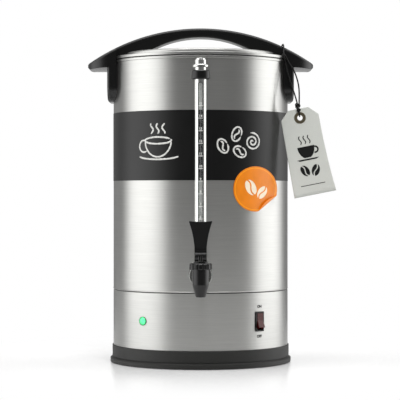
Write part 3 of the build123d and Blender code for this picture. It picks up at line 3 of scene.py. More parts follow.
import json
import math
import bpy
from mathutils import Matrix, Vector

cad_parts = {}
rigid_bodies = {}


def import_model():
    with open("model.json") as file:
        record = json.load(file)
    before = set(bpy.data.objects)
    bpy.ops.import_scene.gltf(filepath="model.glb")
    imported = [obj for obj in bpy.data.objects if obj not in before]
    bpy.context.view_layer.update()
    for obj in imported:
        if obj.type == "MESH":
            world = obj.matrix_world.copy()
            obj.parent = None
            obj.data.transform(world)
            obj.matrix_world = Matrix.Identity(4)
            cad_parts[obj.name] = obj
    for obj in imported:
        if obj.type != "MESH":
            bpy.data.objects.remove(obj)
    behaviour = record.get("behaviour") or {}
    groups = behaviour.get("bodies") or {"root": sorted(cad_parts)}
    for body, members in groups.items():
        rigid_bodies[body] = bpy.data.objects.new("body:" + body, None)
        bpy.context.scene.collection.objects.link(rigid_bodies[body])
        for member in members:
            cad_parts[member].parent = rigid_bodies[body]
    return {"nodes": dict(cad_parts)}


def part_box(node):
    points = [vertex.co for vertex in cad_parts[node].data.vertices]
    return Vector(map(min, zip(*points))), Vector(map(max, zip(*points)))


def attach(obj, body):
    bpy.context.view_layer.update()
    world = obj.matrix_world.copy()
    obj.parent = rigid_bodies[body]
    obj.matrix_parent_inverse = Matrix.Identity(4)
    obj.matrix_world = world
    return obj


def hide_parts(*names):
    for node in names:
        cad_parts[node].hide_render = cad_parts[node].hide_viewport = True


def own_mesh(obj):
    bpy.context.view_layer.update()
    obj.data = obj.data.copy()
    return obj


bl_info = {
    "name": "Coffee Urn",
    "version": (1, 0, 0),
    "blender": (4, 5, 0),
    "location": "View3D > Sidebar > Urn",
    "description": "Dresses a steel percolator urn: finishes, chalk foil, sticker, gauge and swing tag",
    "category": "Object",
}

import bmesh
import bpy
import numpy as np
from bpy.props import FloatProperty, FloatVectorProperty, IntProperty, PointerProperty

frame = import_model()
MM = 0.001
FULL_TURN = 2 * np.pi
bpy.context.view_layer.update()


# ---------------------------------------------------------------- colour and nodes
def linear(hex_colour):
    """Linear RGBA of an sRGB hex colour such as 6f706b."""
    channels = [int(hex_colour[i : i + 2], 16) / 255 for i in (0, 2, 4)]
    linear_part = [c / 12.92 if c <= 0.04045 else ((c + 0.055) / 1.055) ** 2.4 for c in channels]
    return (*linear_part, 1.0)


def shade(colour, factor):
    """Colour made darker or lighter by a factor, kept within white."""
    return (*(min(1.0, c * factor) for c in colour[:3]), 1.0)


def add(tree, kind, inputs=None, stops=(), **settings):
    """New node of a kind, with its settings, with values or links on its inputs, and with
    (place, colour) stops where it is a colour ramp."""
    made = tree.nodes.new(kind)
    for key, value in settings.items():
        setattr(made, key, value)
    for key, value in (inputs or {}).items():
        if isinstance(value, bpy.types.NodeSocket):
            tree.links.new(value, made.inputs[key])
        else:
            made.inputs[key].default_value = value
    if stops:
        points = made.color_ramp.elements
        while len(points) < len(stops):
            points.new(0.5)
        for point, (place, colour) in zip(points, stops):
            point.position = place
            point.color = colour
    return made


def finish_of(name, **inputs):
    """New material of that name with one Principled surface: its tree and its shader."""
    material = bpy.data.materials.new(name)
    material.use_nodes = True
    tree = material.node_tree
    shader = tree.nodes["Principled BSDF"]
    for key, value in inputs.items():
        shader.inputs[key.replace("_", " ")].default_value = value
    return material, tree, shader


def grained(tree, shader, size_mm, relief=0.0, depth_mm=0.1, tones=(), detail=4.0, roughness=0.6):
    """Gives a surface its grain.  Noise on object coordinates, of one real size or one along each
    axis, raises the surface by the relief's share of a depth, and runs its colour through the
    tones, which are (place, colour) stops; the colour's output comes back."""
    place = add(tree, "ShaderNodeTexCoord")
    scale = [1000 / size for size in np.broadcast_to(size_mm, 3)]
    mapped = add(tree, "ShaderNodeMapping", {"Vector": place.outputs["Object"], "Scale": scale})
    noise = add(
        tree, "ShaderNodeTexNoise",
        {"Vector": mapped.outputs[0], "Scale": 1.0, "Detail": detail, "Roughness": roughness},
    )
    if relief:
        bump = add(
            tree, "ShaderNodeBump",
            {"Height": noise.outputs["Fac"], "Strength": relief, "Distance": depth_mm * MM},
        )
        tree.links.new(bump.outputs["Normal"], shader.inputs["Normal"])
    if not tones:
        return None

    tone = add(tree, "ShaderNodeValToRGB", {"Fac": noise.outputs["Fac"]}, tones)
    tree.links.new(tone.outputs["Color"], shader.inputs["Base Color"])
    return tone.outputs["Color"]


# ---------------------------------------------------------------- sizes and colours to change
class UrnSizes(bpy.types.PropertyGroup):
    """Sizes of what is drawn, printed and stuck on the urn."""

    tank_radius: FloatProperty(
        name="Tank radius", description="Radius of the steel wall", default=0.130, unit="LENGTH"
    )
    band_low: FloatProperty(
        name="Foil foot", description="Height of the foil's lower edge", default=0.2692, unit="LENGTH"
    )
    band_high: FloatProperty(
        name="Foil top", description="Height of the foil's upper edge", default=0.3692, unit="LENGTH"
    )
    chalk_width: FloatProperty(
        name="Chalk line", description="Width of a chalk stroke", default=0.0025, unit="LENGTH"
    )
    label_radius: FloatProperty(
        name="Sticker radius", description="Radius of the round sticker", default=0.0324, unit="LENGTH"
    )
    label_x: FloatProperty(
        name="Sticker place", description="How far right of the middle it is", default=0.079, unit="LENGTH"
    )
    label_z: FloatProperty(
        name="Sticker height", description="Height of the sticker's middle", default=0.2569, unit="LENGTH"
    )
    curl_radius: FloatProperty(
        name="Curl radius", description="Radius that the peeled edge turns with", default=0.0013,
        unit="LENGTH",
    )
    tick_pitch: FloatProperty(
        name="Mark spacing", description="Height between two marks of the gauge", default=0.0177,
        unit="LENGTH",
    )
    tick_low: FloatProperty(
        name="Lowest mark", description="Height of the lowest mark in view", default=0.2146, unit="LENGTH"
    )
    tick_count: IntProperty(name="Marks", description="Marks on the gauge", default=10)
    cord_diameter: FloatProperty(
        name="String", description="Diameter of the swing tag's string", default=0.0021, unit="LENGTH"
    )


class UrnColours(bpy.types.PropertyGroup):
    """Colours of the coated, moulded and printed surfaces."""

    steel: FloatVectorProperty(
        name="Steel", description="Stainless steel", subtype="COLOR", size=4, default=linear("c6c6c3")
    )
    foil: FloatVectorProperty(
        name="Chalk foil", description="Chalkboard foil", subtype="COLOR", size=4, default=linear("080808")
    )
    chalk: FloatVectorProperty(
        name="Chalk", description="Chalk strokes", subtype="COLOR", size=4, default=linear("e0e0dc")
    )
    label: FloatVectorProperty(
        name="Sticker", description="Printed sticker film", subtype="COLOR", size=4, default=linear("ea8414")
    )
    handles: FloatVectorProperty(
        name="Handles", description="Black nylon", subtype="COLOR", size=4, default=linear("080808")
    )
    base: FloatVectorProperty(
        name="Base", description="Dark grey polypropylene", subtype="COLOR", size=4, default=linear("1c1c1a")
    )
    lamp: FloatVectorProperty(
        name="Lamp", description="Lit lamp lens", subtype="COLOR", size=4, default=linear("5fff9f")
    )
    tag: FloatVectorProperty(
        name="Tag", description="Card of the swing tag", subtype="COLOR", size=4, default=linear("d2d4ce")
    )


# ---------------------------------------------------------------- meshes from arrays
def grid(points, join_rows=False, join_columns=False):
    """Vertices and quads over a grid of points; a joined direction closes on itself."""
    rows, columns = points.shape[:2]
    index = np.arange(rows * columns).reshape(rows, columns)
    if join_rows:
        index = np.vstack([index, index[:1]])
    if join_columns:
        index = np.hstack([index, index[:, :1]])
    corners = [index[:-1, :-1], index[1:, :-1], index[1:, 1:], index[:-1, 1:]]
    return points.reshape(-1, 3), np.stack(corners, axis=-1).reshape(-1, 4).tolist()


def piece(name, parts, material, body, smooth=True, closed=True):
    """Object made of several (vertices, faces) parts, riding on a body."""
    vertices, faces, count = [], [], 0
    for part_vertices, part_faces in parts:
        vertices.append(np.asarray(part_vertices, float))
        faces += [[i + count for i in face] for face in part_faces]
        count += len(part_vertices)
    mesh = bpy.data.meshes.new(name)
    mesh.from_pydata(np.concatenate(vertices).tolist(), [], faces)
    work = bmesh.new()
    work.from_mesh(mesh)
    bmesh.ops.remove_doubles(work, verts=work.verts, dist=1e-6)
    if closed:
        bmesh.ops.recalc_face_normals(work, faces=work.faces)
    work.to_mesh(mesh)
    work.free()
    mesh.polygons.foreach_set("use_smooth", np.full(len(mesh.polygons), smooth))
    mesh.materials.append(material)
    made = bpy.data.objects.new(name, mesh)
    bpy.context.scene.collection.objects.link(made)
    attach(made, body)
    return made


def thicken(sheet, thickness):
    """Gives a sheet its thickness, half of it to each side."""
    wall = sheet.modifiers.new("thickness", "SOLIDIFY")
    wall.thickness = thickness
    wall.offset = 0.0


def unit(vectors):
    """Vectors of length one."""
    return vectors / np.linalg.norm(vectors, axis=-1, keepdims=True)


def round_angles(count):
    """Angles evenly round a full turn, the last one short of the first."""
    return np.linspace(0, FULL_TURN, count + 1)[:-1]


def spread(across, up):
    """Flat points from what lies across and what lies up, each stretched to the other's shape."""
    return np.stack(np.broadcast_arrays(across, up), axis=-1)


def arc(middle, half_width, half_height, start, end, count):
    """Flat points along an ellipse, from one angle to another: cosine across and sine up."""
    angle = np.linspace(start, end, count)
    return middle + np.stack([half_width * np.cos(angle), half_height * np.sin(angle)], axis=-1)


def turned(flat, angle):
    """Flat points turned anticlockwise."""
    return flat @ np.array([[math.cos(angle), math.sin(angle)], [-math.sin(angle), math.cos(angle)]])


def carried(path, normals, profile, scale):
    """Closed profile of (side, out) points carried along a path: side is square to the path in
    the surface whose normals are given, out is along the normal, and scale sizes it on the way."""
    side = unit(np.cross(unit(np.gradient(path, axis=0)), normals))
    sideways, outwards = (profile[None, :, i, None] * scale[:, None, None] for i in (0, 1))
    return path[:, None] + sideways * side[:, None] + outwards * normals[:, None]


def tube(path, radius, beside, closed=True):
    """Round tube along a path: circles square to it, turned from a direction beside it.  An open
    one has its ends drawn to a point."""
    size = np.full(len(path), radius)
    if closed:
        ahead = unit(np.roll(path, -1, axis=0) - np.roll(path, 1, axis=0))
    else:
        ahead = unit(np.gradient(path, axis=0))
        path, ahead = (np.concatenate([line[:1], line, line[-1:]]) for line in (path, ahead))
        size = np.concatenate([[0.0], size, [0.0]])
    side = unit(np.cross(ahead, beside))[:, None]
    out = np.cross(side[:, 0], ahead)[:, None]
    angle = round_angles(12)[None, :, None]
    rings = path[:, None] + size[:, None, None] * (side * np.cos(angle) + out * np.sin(angle))
    return grid(rings, join_rows=closed, join_columns=True)


def bean_lobes(middle, half_width, half_length, lean):
    """The two lobes of a coffee bean as flat grids: halves of an ellipse, parted by a groove that
    is a sine over the length, all leaning by an angle."""
    along = np.linspace(-0.97, 0.97, 25)[:, None]
    edge = half_width * np.sqrt(1 - along**2)
    groove = 0.25 * half_width * np.sin(np.pi * along)
    gap = 0.14 * half_width
    lobes = []
    for sign in (-1, 1):
        inner = np.clip(groove + sign * gap, -edge, edge)
        across = inner + (sign * edge - inner) * np.linspace(0, 1, 7)
        lobes.append(turned(spread(across, along * half_length), lean) + middle)
    return lobes


def on_wall(flat, radius, out=0.0):
    """Flat (along the wall, height) points wrapped on an upright cylinder, with its normals."""
    angle = flat[..., 0] / radius
    normals = np.stack([np.sin(angle), -np.cos(angle), np.zeros_like(angle)], axis=-1)
    points = normals * np.asarray(radius + out)[..., None]
    points[..., 2] = flat[..., 1]
    return points, normals


def lettering(text, height, bold):
    """Flat points and faces of a short text, centred, as tall as given and fattened by bold."""
    capital_share = 0.70
    curve = bpy.data.curves.new("lettering", "FONT")
    curve.body = text
    curve.align_x = "CENTER"
    curve.align_y = "CENTER"
    curve.size = height / capital_share
    curve.offset = bold
    curve.resolution_u = 3
    holder = bpy.data.objects.new("lettering", curve)
    mesh = bpy.data.meshes.new_from_object(holder)
    vertices = np.empty(len(mesh.vertices) * 3)
    mesh.vertices.foreach_get("co", vertices)
    faces = [list(polygon.vertices) for polygon in mesh.polygons]
    for block, data in ((bpy.data.objects, holder), (bpy.data.curves, curve), (bpy.data.meshes, mesh)):
        block.remove(data)
    return vertices.reshape(-1, 3)[:, :2], faces


def paint(material, *nodes):
    """Gives CAD nodes their material."""
    for name in nodes:
        for slot in frame["nodes"][name].material_slots:
            slot.material = material


# ---------------------------------------------------------------- finishes
def brushed_steel(name, colour, painted_shade_below):
    """Stainless steel ground with a belt round its axis: metal whose long shallow scratches run
    level, so highlights spread up and down.  Grit lines of about 1.5 mm, as fine as shows.  Below a
    height, in the seam's groove or the gap under a rim, the colour is painted near black as
    painted shade of that groove or gap."""
    material, tree, shader = finish_of(
        name, Metallic=1.0, Roughness=0.33, Anisotropic=0.9, Anisotropic_Rotation=0.25
    )
    tone = grained(
        tree, shader, (62.5, 62.5, 1.5625), relief=0.035, depth_mm=0.2, detail=6.0, roughness=0.7,
        tones=[(0.3, shade(colour, 0.93)), (0.7, shade(colour, 1.05))],
    )
    place = add(tree, "ShaderNodeTexCoord")
    axes = add(tree, "ShaderNodeSeparateXYZ", {0: place.outputs["Object"]})
    # painted shade: below this height the base colour is set near black, standing for the shade in the
    # groove or gap there
    fold = add(tree, "ShaderNodeMath", {0: axes.outputs["Z"], 1: painted_shade_below}, operation="LESS_THAN")
    both = add(
        tree, "ShaderNodeMix", {0: fold.outputs[0], 6: tone, 7: shade(colour, 0.10)}, data_type="RGBA"
    )
    tree.links.new(both.outputs[2], shader.inputs["Base Color"])
    return material


def plain_steel():
    """Cold rolled stainless sheet and bar, unpolished: even soft gloss with a faint cloudiness."""
    material, tree, shader = finish_of(
        "cold rolled stainless steel", Metallic=1.0, Roughness=0.34, Base_Color=linear("b9b9b6")
    )
    grained(tree, shader, 3.33, relief=0.08)
    return material


def zinc_steel():
    """Zinc plated steel of screws, nuts and springs: bright, slightly blue, a little uneven."""
    name = "zinc plated steel"
    if name in bpy.data.materials:
        return bpy.data.materials[name]
    material, tree, shader = finish_of(name, Metallic=1.0, Roughness=0.28, Base_Color=linear("bcbfc2"))
    grained(tree, shader, 1.11, relief=0.12)
    return material


def plated(name, colour, roughness):
    """Nickel-chrome plating on brass: the given gloss, with a trace of polishing haze."""
    material, tree, shader = finish_of(name, Metallic=1.0, Roughness=roughness, Base_Color=colour)
    grained(tree, shader, (2.0, 2.0, 8.33), relief=0.03)
    return material


def metal(name, colour, roughness, grain_mm):
    """Bare metal of a colour, as cast, drawn or aged: dulled by a fine grain of the given size."""
    material, tree, shader = finish_of(name, Metallic=1.0, Roughness=roughness, Base_Color=colour)
    grained(tree, shader, grain_mm, relief=0.25)
    return material


def moulded(name, colour, roughness, texture_mm, relief=0.12):
    """Moulded thermoplastic or rubber: its colour, IOR 1.5, and the fine spark-eroded texture of
    the mould, whose grain is given in millimetres."""
    material, tree, shader = finish_of(name, Roughness=roughness, IOR=1.5)
    grained(
        tree, shader, texture_mm, relief=relief, depth_mm=0.2, detail=3.0,
        tones=[(0.3, shade(colour, 0.85)), (0.7, shade(colour, 1.2))],
    )
    return material


def chalk_foil(colour):
    """Chalkboard foil: deep black vinyl with a satin tooth of 0.4 mm, and clouds of wiped chalk
    dust a hand wide."""
    material, tree, shader = finish_of("chalkboard foil", Roughness=0.33, IOR=1.45)
    dusty = (*(c + 0.004 for c in colour[:3]), 1.0)
    grained(tree, shader, 71.4, detail=5.0, tones=[(0.35, colour), (0.8, dusty)])
    grained(tree, shader, 0.4, relief=0.15)
    return material


def chalk(colour):
    """Chalk strokes: matt powder that skips over the foil's tooth, drawn as specks of about 1 mm,
    as fine as shows."""
    material, tree, shader = finish_of("chalk", Roughness=0.95, IOR=1.45)
    grained(
        tree, shader, 1.11, detail=3.0, roughness=0.7,
        tones=[(0.36, shade(colour, 0.45)), (0.48, colour)],
    )
    return material


def printed_film(name, colour, roughness):
    """Printed vinyl film or ink: an even colour, a little cloudy over 11 mm, under a lacquer."""
    material, tree, shader = finish_of(name, Roughness=roughness, IOR=1.46)
    grained(
        tree, shader, 11.1, detail=3.0, roughness=0.5,
        tones=[(0.3, shade(colour, 0.94)), (0.7, shade(colour, 1.04))],
    )
    return material


def tag_card(colour):
    """Smooth grey card: matt, with paper fibres drawn about 1 mm long, as fine as shows."""
    material, tree, shader = finish_of("grey swing tag card", Roughness=0.85, IOR=1.45)
    grained(
        tree, shader, (1.11, 1.11, 0.625), relief=0.2, detail=5.0,
        tones=[(0.3, shade(colour, 0.95)), (0.7, shade(colour, 1.03))],
    )
    return material


def waxed_cord():
    """Waxed black cotton cord: fine laid strands about 0.4 mm wide, dull."""
    material, tree, shader = finish_of("waxed cotton cord", Roughness=0.7, IOR=1.45)
    grained(
        tree, shader, (0.455, 0.455, 1.11), relief=0.5, detail=3.0,
        tones=[(0.35, linear("0b0b0b")), (0.7, linear("1c1b1a"))],
    )
    return material


def clear_glass():
    """Drawn borosilicate tube: clear, IOR 1.47, with hardly any tint."""
    return finish_of(
        "borosilicate glass", Roughness=0.0, IOR=1.47, Base_Color=linear("f8f9f9"),
        Transmission_Weight=1.0,
    )[0]


def lit_lens(colour, middle, ball_radius):
    """Moulded green acrylic lens over a lit neon lamp: glossy and glowing.  Its colour and glow are
    brightest at a middle and darker with the distance from it, level and upright, with a thin paler
    edge past nine tenths of the radius of the lens's ball.  The darkening towards the edge is
    painted shade of the dome's rim as it looks from the front."""
    material, tree, shader = finish_of("lit green acrylic", Roughness=0.15, IOR=1.49, Emission_Strength=0.75)
    place = add(tree, "ShaderNodeTexCoord")
    scale = (1 / ball_radius, 0.0, 1 / ball_radius)
    centred = add(tree, "ShaderNodeMapping", {
        "Vector": place.outputs["Object"],
        "Location": [-start * factor for start, factor in zip(middle, scale)],
        "Scale": scale,
    })
    nearness = add(
        tree, "ShaderNodeTexGradient", {"Vector": centred.outputs[0]}, gradient_type="SPHERICAL"
    )
    # painted shade: colour and glow fall from the middle to a dark green edge, standing for the lens's rim
    # as seen from the front; the lamp's glow itself is real
    tone = add(tree, "ShaderNodeValToRGB", {"Fac": nearness.outputs["Fac"]}, [
        (0.0, linear("3cb873")), (0.095, linear("2f9d60")), (0.287, shade(colour, 0.85)),
        (0.5, shade(colour, 0.935)), (1.0, colour),
    ])
    for socket in ("Base Color", "Emission Color"):
        tree.links.new(tone.outputs["Color"], shader.inputs[socket])
    return material


def red_lens():
    """Dark red translucent acrylic of the rocker: deep colour, glossy, slightly lit through."""
    material, tree, shader = finish_of(
        "dark red acrylic", Roughness=0.16, IOR=1.49, Base_Color=linear("4a0d0c"),
        Transmission_Weight=0.25,
    )
    grained(tree, shader, 2.5, relief=0.04)
    return material


# ---------------------------------------------------------------- operators
class URN_OT_steel(bpy.types.Operator):
    """Brush the tank and the base shell, and finish the plain steel inside them"""

    bl_idname = "urn.steel"
    bl_label = "Steel bodies"

    def execute(self, context):
        colour = tuple(context.scene.urn_colours.steel)
        # painted shade: the tank's skirt below this height, seen in the seam's groove, is painted near black
        groove_shade_top = 0.1092
        paint(brushed_steel("belt brushed stainless steel", colour, groove_shade_top), "tank")
        paint(brushed_steel("belt brushed stainless base", colour, 0.0), "base_shell")
        inside = plain_steel()
        paint(inside, "bottom_plate", "pump_stem", "pump_valve", "basket", "basket_cover")
        paint(inside, "tap_stem", "lever_pin", "thermostat", "thermal_cutout")
        zinc = zinc_steel()
        paint(zinc, "bottom_screws", "handle_screws", "lid_screws", "lid_washers", "inlet_screws")
        paint(zinc, "heater_nut", "tank_nut")
        paint(metal("cast aluminium", linear("a9aaa8"), 0.5, 0.8), "heater_block")
        return {"FINISHED"}


class URN_OT_lid(bpy.types.Operator):
    """Spin-brush the lid"""

    bl_idname = "urn.lid"
    bl_label = "Lid"

    def execute(self, context):
        colour = tuple(context.scene.urn_colours.steel)
        # painted shade: the lid's edge below this height, in the gap at the tank's rim, is painted near
        # black
        lid_gap_shade_top = 0.44845
        paint(brushed_steel("spun stainless steel", colour, lid_gap_shade_top), "lid_shell")
        return {"FINISHED"}


class URN_OT_handles(bpy.types.Operator):
    """Finish the three black handles, the grey base ring and the rubber parts"""

    bl_idname = "urn.handles"
    bl_label = "Handles and base"

    def execute(self, context):
        colours = context.scene.urn_colours
        nylon = moulded("satin black nylon", tuple(colours.handles), 0.30, 0.7, 0.05)
        paint(nylon, "handle_left", "handle_right", "lid_handle")
        paint(moulded("textured grey polypropylene", tuple(colours.base), 0.5, 0.9), "base_ring")
        paint(moulded("black rubber", linear("161616"), 0.7, 0.5), "foot_ring")
        silicone = moulded("grey silicone", linear("b5afa6"), 0.55, 0.6)
        paint(silicone, "handle_washers", "tap_gaskets", "seat_cup", "gauge_seals", "keep_warm_mat")
        return {"FINISHED"}


class URN_OT_band(bpy.types.Operator):
    """Lay the chalkboard foil and draw a cup, steam, beans and a swirl on it"""

    bl_idname = "urn.band"
    bl_label = "Chalk foil"

    def execute(self, context):
        sizes = context.scene.urn_sizes
        colours = context.scene.urn_colours
        foil_out = 0.0003
        section = np.array([
            (0.0, sizes.band_low), (foil_out, sizes.band_low),
            (foil_out, sizes.band_high), (0.0, sizes.band_high),
        ])
        flat = spread(round_angles(360)[:, None] * sizes.tank_radius, section[:, 1])
        out = np.broadcast_to(section[:, 0], flat.shape[:2])
        foil = piece(
            "chalkboard_foil", [grid(on_wall(flat, sizes.tank_radius, out)[0], join_rows=True)],
            chalk_foil(tuple(colours.foil)), "urn", smooth=False, closed=False,
        )
        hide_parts("chalk_band")
        radius = sizes.tank_radius + foil_out
        strokes = self.cup(-0.064) + self.steam(-0.064) + self.beans(0.032) + self.swirl(0.079)
        parts = [self.stroke(line, number, sizes, radius) for number, line in enumerate(strokes)]
        piece("chalk_drawing", parts, chalk(tuple(colours.chalk)), "urn")
        return {"FINISHED"}

    def stroke(self, line, number, sizes, radius):
        """Chalk stroke on the foil: a flat ellipse carried along its line, which thins to nothing
        as a root over the last three points, and swells and shrinks by two sines on the way."""
        thickness = 0.00022
        path, normals = on_wall(line, radius)
        profile = arc((0, 0), sizes.chalk_width / 2, thickness, 0, FULL_TURN, 9)[:-1]
        step = np.arange(len(path))
        ends = np.sqrt(np.minimum(1.0, np.minimum(step, step[::-1]) / 3.0))
        pressure = 1 + 0.10 * np.sin(step * 1.7) + 0.07 * np.sin(step * 0.61 + number)
        return grid(carried(path, normals, profile, ends * pressure), join_columns=True)

    def cup(self, x):
        """Cup in outline: an ellipse for the rim, half a rounder one for the bowl, an arc of a
        circle for the ear and a flat arc for the saucer."""
        rim_z, half_width, ear_reach = 0.3262, 0.0215, 0.0085
        ear_middle, dish_middle = (x - 0.0235, rim_z - 0.0080), (x, rim_z - 0.0215)
        return [
            arc((x, rim_z), half_width, 0.0048, 0.4, 0.4 + FULL_TURN, 60),
            arc((x, rim_z), half_width, 0.0235, -np.pi, 0, 50),
            arc(ear_middle, ear_reach, ear_reach, np.pi - 1.9, np.pi + 2.2, 40),
            arc(dish_middle, 0.0330, 0.0055, -0.93 * np.pi, -0.07 * np.pi, 50),
        ]

    def steam(self, x):
        """Three upright sine waves over the cup."""
        foot_z, height, sway = 0.3355, 0.0155, 0.0022
        rise = np.linspace(0, height, 30)
        return [
            np.stack([x + shift + sway * np.sin(rise * 420 + shift * 90), foot_z + rise], axis=-1)
            for shift in (-0.0095, 0.0, 0.0095)
        ]

    def beans(self, x):
        """Three coffee beans: a leaning ellipse with an S-shaped groove, a sine, in each."""
        half_width, half_length = 0.0072, 0.0105
        groove_sway, groove_half = 0.0022, 0.0078
        share = np.linspace(-1, 1, 24)
        ring = arc((0, 0), half_width, half_length, 0, FULL_TURN, 46)
        groove = np.stack([groove_sway * np.sin(share * np.pi), groove_half * share], axis=-1)
        strokes = []
        for shift, z, lean in ((0.0, 0.318, 0.5), (0.021, 0.335, -0.4), (0.026, 0.310, 1.1)):
            strokes += [turned(line, lean) + (x + shift, z) for line in (ring, groove)]
        return strokes

    def swirl(self, x):
        """A loose spiral whose reach grows evenly with its angle, a little flattened."""
        middle_z, growth, flatness = 0.3245, 0.0010, 0.9
        angle = np.linspace(0.5, 4.6 * np.pi, 90)
        across = growth * angle * np.cos(angle)
        up = flatness * growth * angle * np.sin(angle)
        return [np.stack([x + across, middle_z + up], axis=-1)]


class URN_OT_label(bpy.types.Operator):
    """Stick the round sticker on the wall, with its lower right edge folded back over itself"""

    bl_idname = "urn.label"
    bl_label = "Round sticker"

    def execute(self, context):
        sizes = context.scene.urn_sizes
        colour = tuple(context.scene.urn_colours.label)
        film_thickness, ink_out = 0.00022, 0.0002
        fine_from = 0.75
        rings = np.concatenate([np.linspace(0.0, fine_from, 16), np.linspace(fine_from, 1.0, 30)[1:]])
        label = piece(
            "orange_sticker", [self.circles(sizes, rings, 0.0)],
            printed_film("orange vinyl film", colour, 0.30), "urn",
        )
        thicken(label, film_thickness)
        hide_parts("round_label")
        piece(
            "sticker_rim", [self.circles(sizes, np.linspace(0.905, 0.945, 3), ink_out)],
            printed_film("pale orange ink", shade(colour, 1.45), 0.35), "urn",
            closed=False,
        )
        beans = bean_lobes((-0.0072, 0.0022), 0.0074, 0.0118, 0.45)
        beans += bean_lobes((0.0094, -0.0050), 0.0062, 0.0098, -0.55)
        piece(
            "sticker_print", [grid(self.laid(sizes, lobe, ink_out)) for lobe in beans],
            printed_film("cream ink", linear("f7e8cf"), 0.35), "urn", closed=False,
        )
        return {"FINISHED"}

    def circles(self, sizes, shares, out):
        """Mesh over circles about the sticker's middle, each at a share of its radius."""
        angle = round_angles(144)
        reach = shares[:, None, None] * sizes.label_radius
        flat = reach * np.stack([np.cos(angle), np.sin(angle)], axis=-1)
        return grid(self.laid(sizes, flat, out), join_columns=True)

    def laid(self, sizes, flat, out):
        """Flat points about the sticker's middle laid on the wall.  Beyond a fold line towards the
        lower right, the film turns round a half circle of the curl radius, a point that lies a
        length beyond the line turning by that length over the radius, and then runs back over
        the sticker, rising a little."""
        peel_angle = math.radians(-50.3)
        fold_at = 0.0252
        spring = 0.22
        curl = sizes.curl_radius
        wall = sizes.tank_radius + 0.0005
        away = np.array([math.cos(peel_angle), math.sin(peel_angle)])
        beyond = np.clip(flat @ away - fold_at, 0, None)
        turn = np.minimum(beyond / curl, np.pi)
        back = np.clip(beyond - np.pi * curl, 0, None)
        slide = (curl - out) * np.sin(turn) - back - beyond
        lift = curl - (curl - out) * np.cos(turn) + spring * back
        x = sizes.label_x + flat[..., 0] + slide * away[0]
        z = sizes.label_z + flat[..., 1] + slide * away[1]
        depth = np.sqrt(wall**2 - x**2)
        normal = np.stack([x / wall, -depth / wall, np.zeros_like(x)], axis=-1)
        return np.stack([x, -depth, z], axis=-1) + normal * lift[..., None]


class URN_OT_gauge(bpy.types.Operator):
    """Finish the level gauge and print its marks and numbers on the glass"""

    bl_idname = "urn.gauge"
    bl_label = "Level gauge"

    def execute(self, context):
        sizes = context.scene.urn_sizes
        bright = plated("bright chrome plate", linear("e6e7e4"), 0.16)
        paint(bright, "gauge_shield", "gauge_cap", "gauge_nut")
        paint(plated("satin nickel plate", linear("acadaa"), 0.25), "tap_shank", "union_nut")
        paint(clear_glass(), "gauge_glass")
        low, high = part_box("gauge_glass")
        centre = np.array([0.0, (low.y + high.y) / 2, 0.0])
        radius = (high.x - low.x) / 2
        first_number, number_height, number_bold, number_rise = 6, 0.0032, 0.00012, 0.0030
        half_length, half_thickness = 0.0034, 0.0005
        mark_out, number_out = 0.0001, 0.00012
        across = np.linspace(-half_length, half_length, 9)[:, None]
        parts = []
        for i in range(sizes.tick_count):
            z = sizes.tick_low + i * sizes.tick_pitch
            mark = spread(across, z + np.array([-half_thickness, half_thickness]))
            parts.append(grid(on_wall(mark, radius, mark_out)[0] + centre))
            number, faces = lettering(str(first_number + i), number_height, number_bold)
            number = number + (0.0, z + number_rise)
            parts.append((on_wall(number, radius, number_out)[0] + centre, faces))
        white = printed_film("white glass print", linear("f2f2ee"), 0.5)
        piece("gauge_marks", parts, white, "urn", smooth=False, closed=False)
        return {"FINISHED"}


class URN_OT_tap(bpy.types.Operator):
    """Finish the tap and its lever, and wind the closing spring under its cap"""

    bl_idname = "urn.tap"
    bl_label = "Tap"

    def execute(self, context):
        black = moulded("satin black polyamide", linear("080808"), 0.30, 0.6, 0.05)
        paint(black, "tap_body", "tap_bonnet", "gauge_bushing", "switch_housing", "inlet_socket")
        paint(moulded("black lever polyamide", linear("0a0a0a"), 0.36, 0.8, 0.05), "tap_lever")
        low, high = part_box("tap_spring")
        spring = piece("closing_spring", [self.coil(low, high)], zinc_steel(), "urn")
        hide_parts("tap_spring")
        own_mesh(spring)
        return {"FINISHED"}

    def coil(self, low, high):
        """Wire on a helix, which rises evenly with its angle, between two corners: five turns from
        the stem's plate up to the cap, a little clear of both."""
        turns, wire_radius, clear = 5.0, 0.0004, 0.0002
        reach = (high.y - low.y) / 2 - wire_radius
        foot = low.z + wire_radius + clear
        share = np.linspace(0, 1, 161)
        angle = FULL_TURN * turns * share
        helix = np.stack([
            reach * np.cos(angle),
            (low.y + high.y) / 2 + reach * np.sin(angle),
            foot + (high.z - wire_radius - clear - foot) * share,
        ], axis=-1)
        return tube(helix, wire_radius, (0, 0, 1), closed=False)


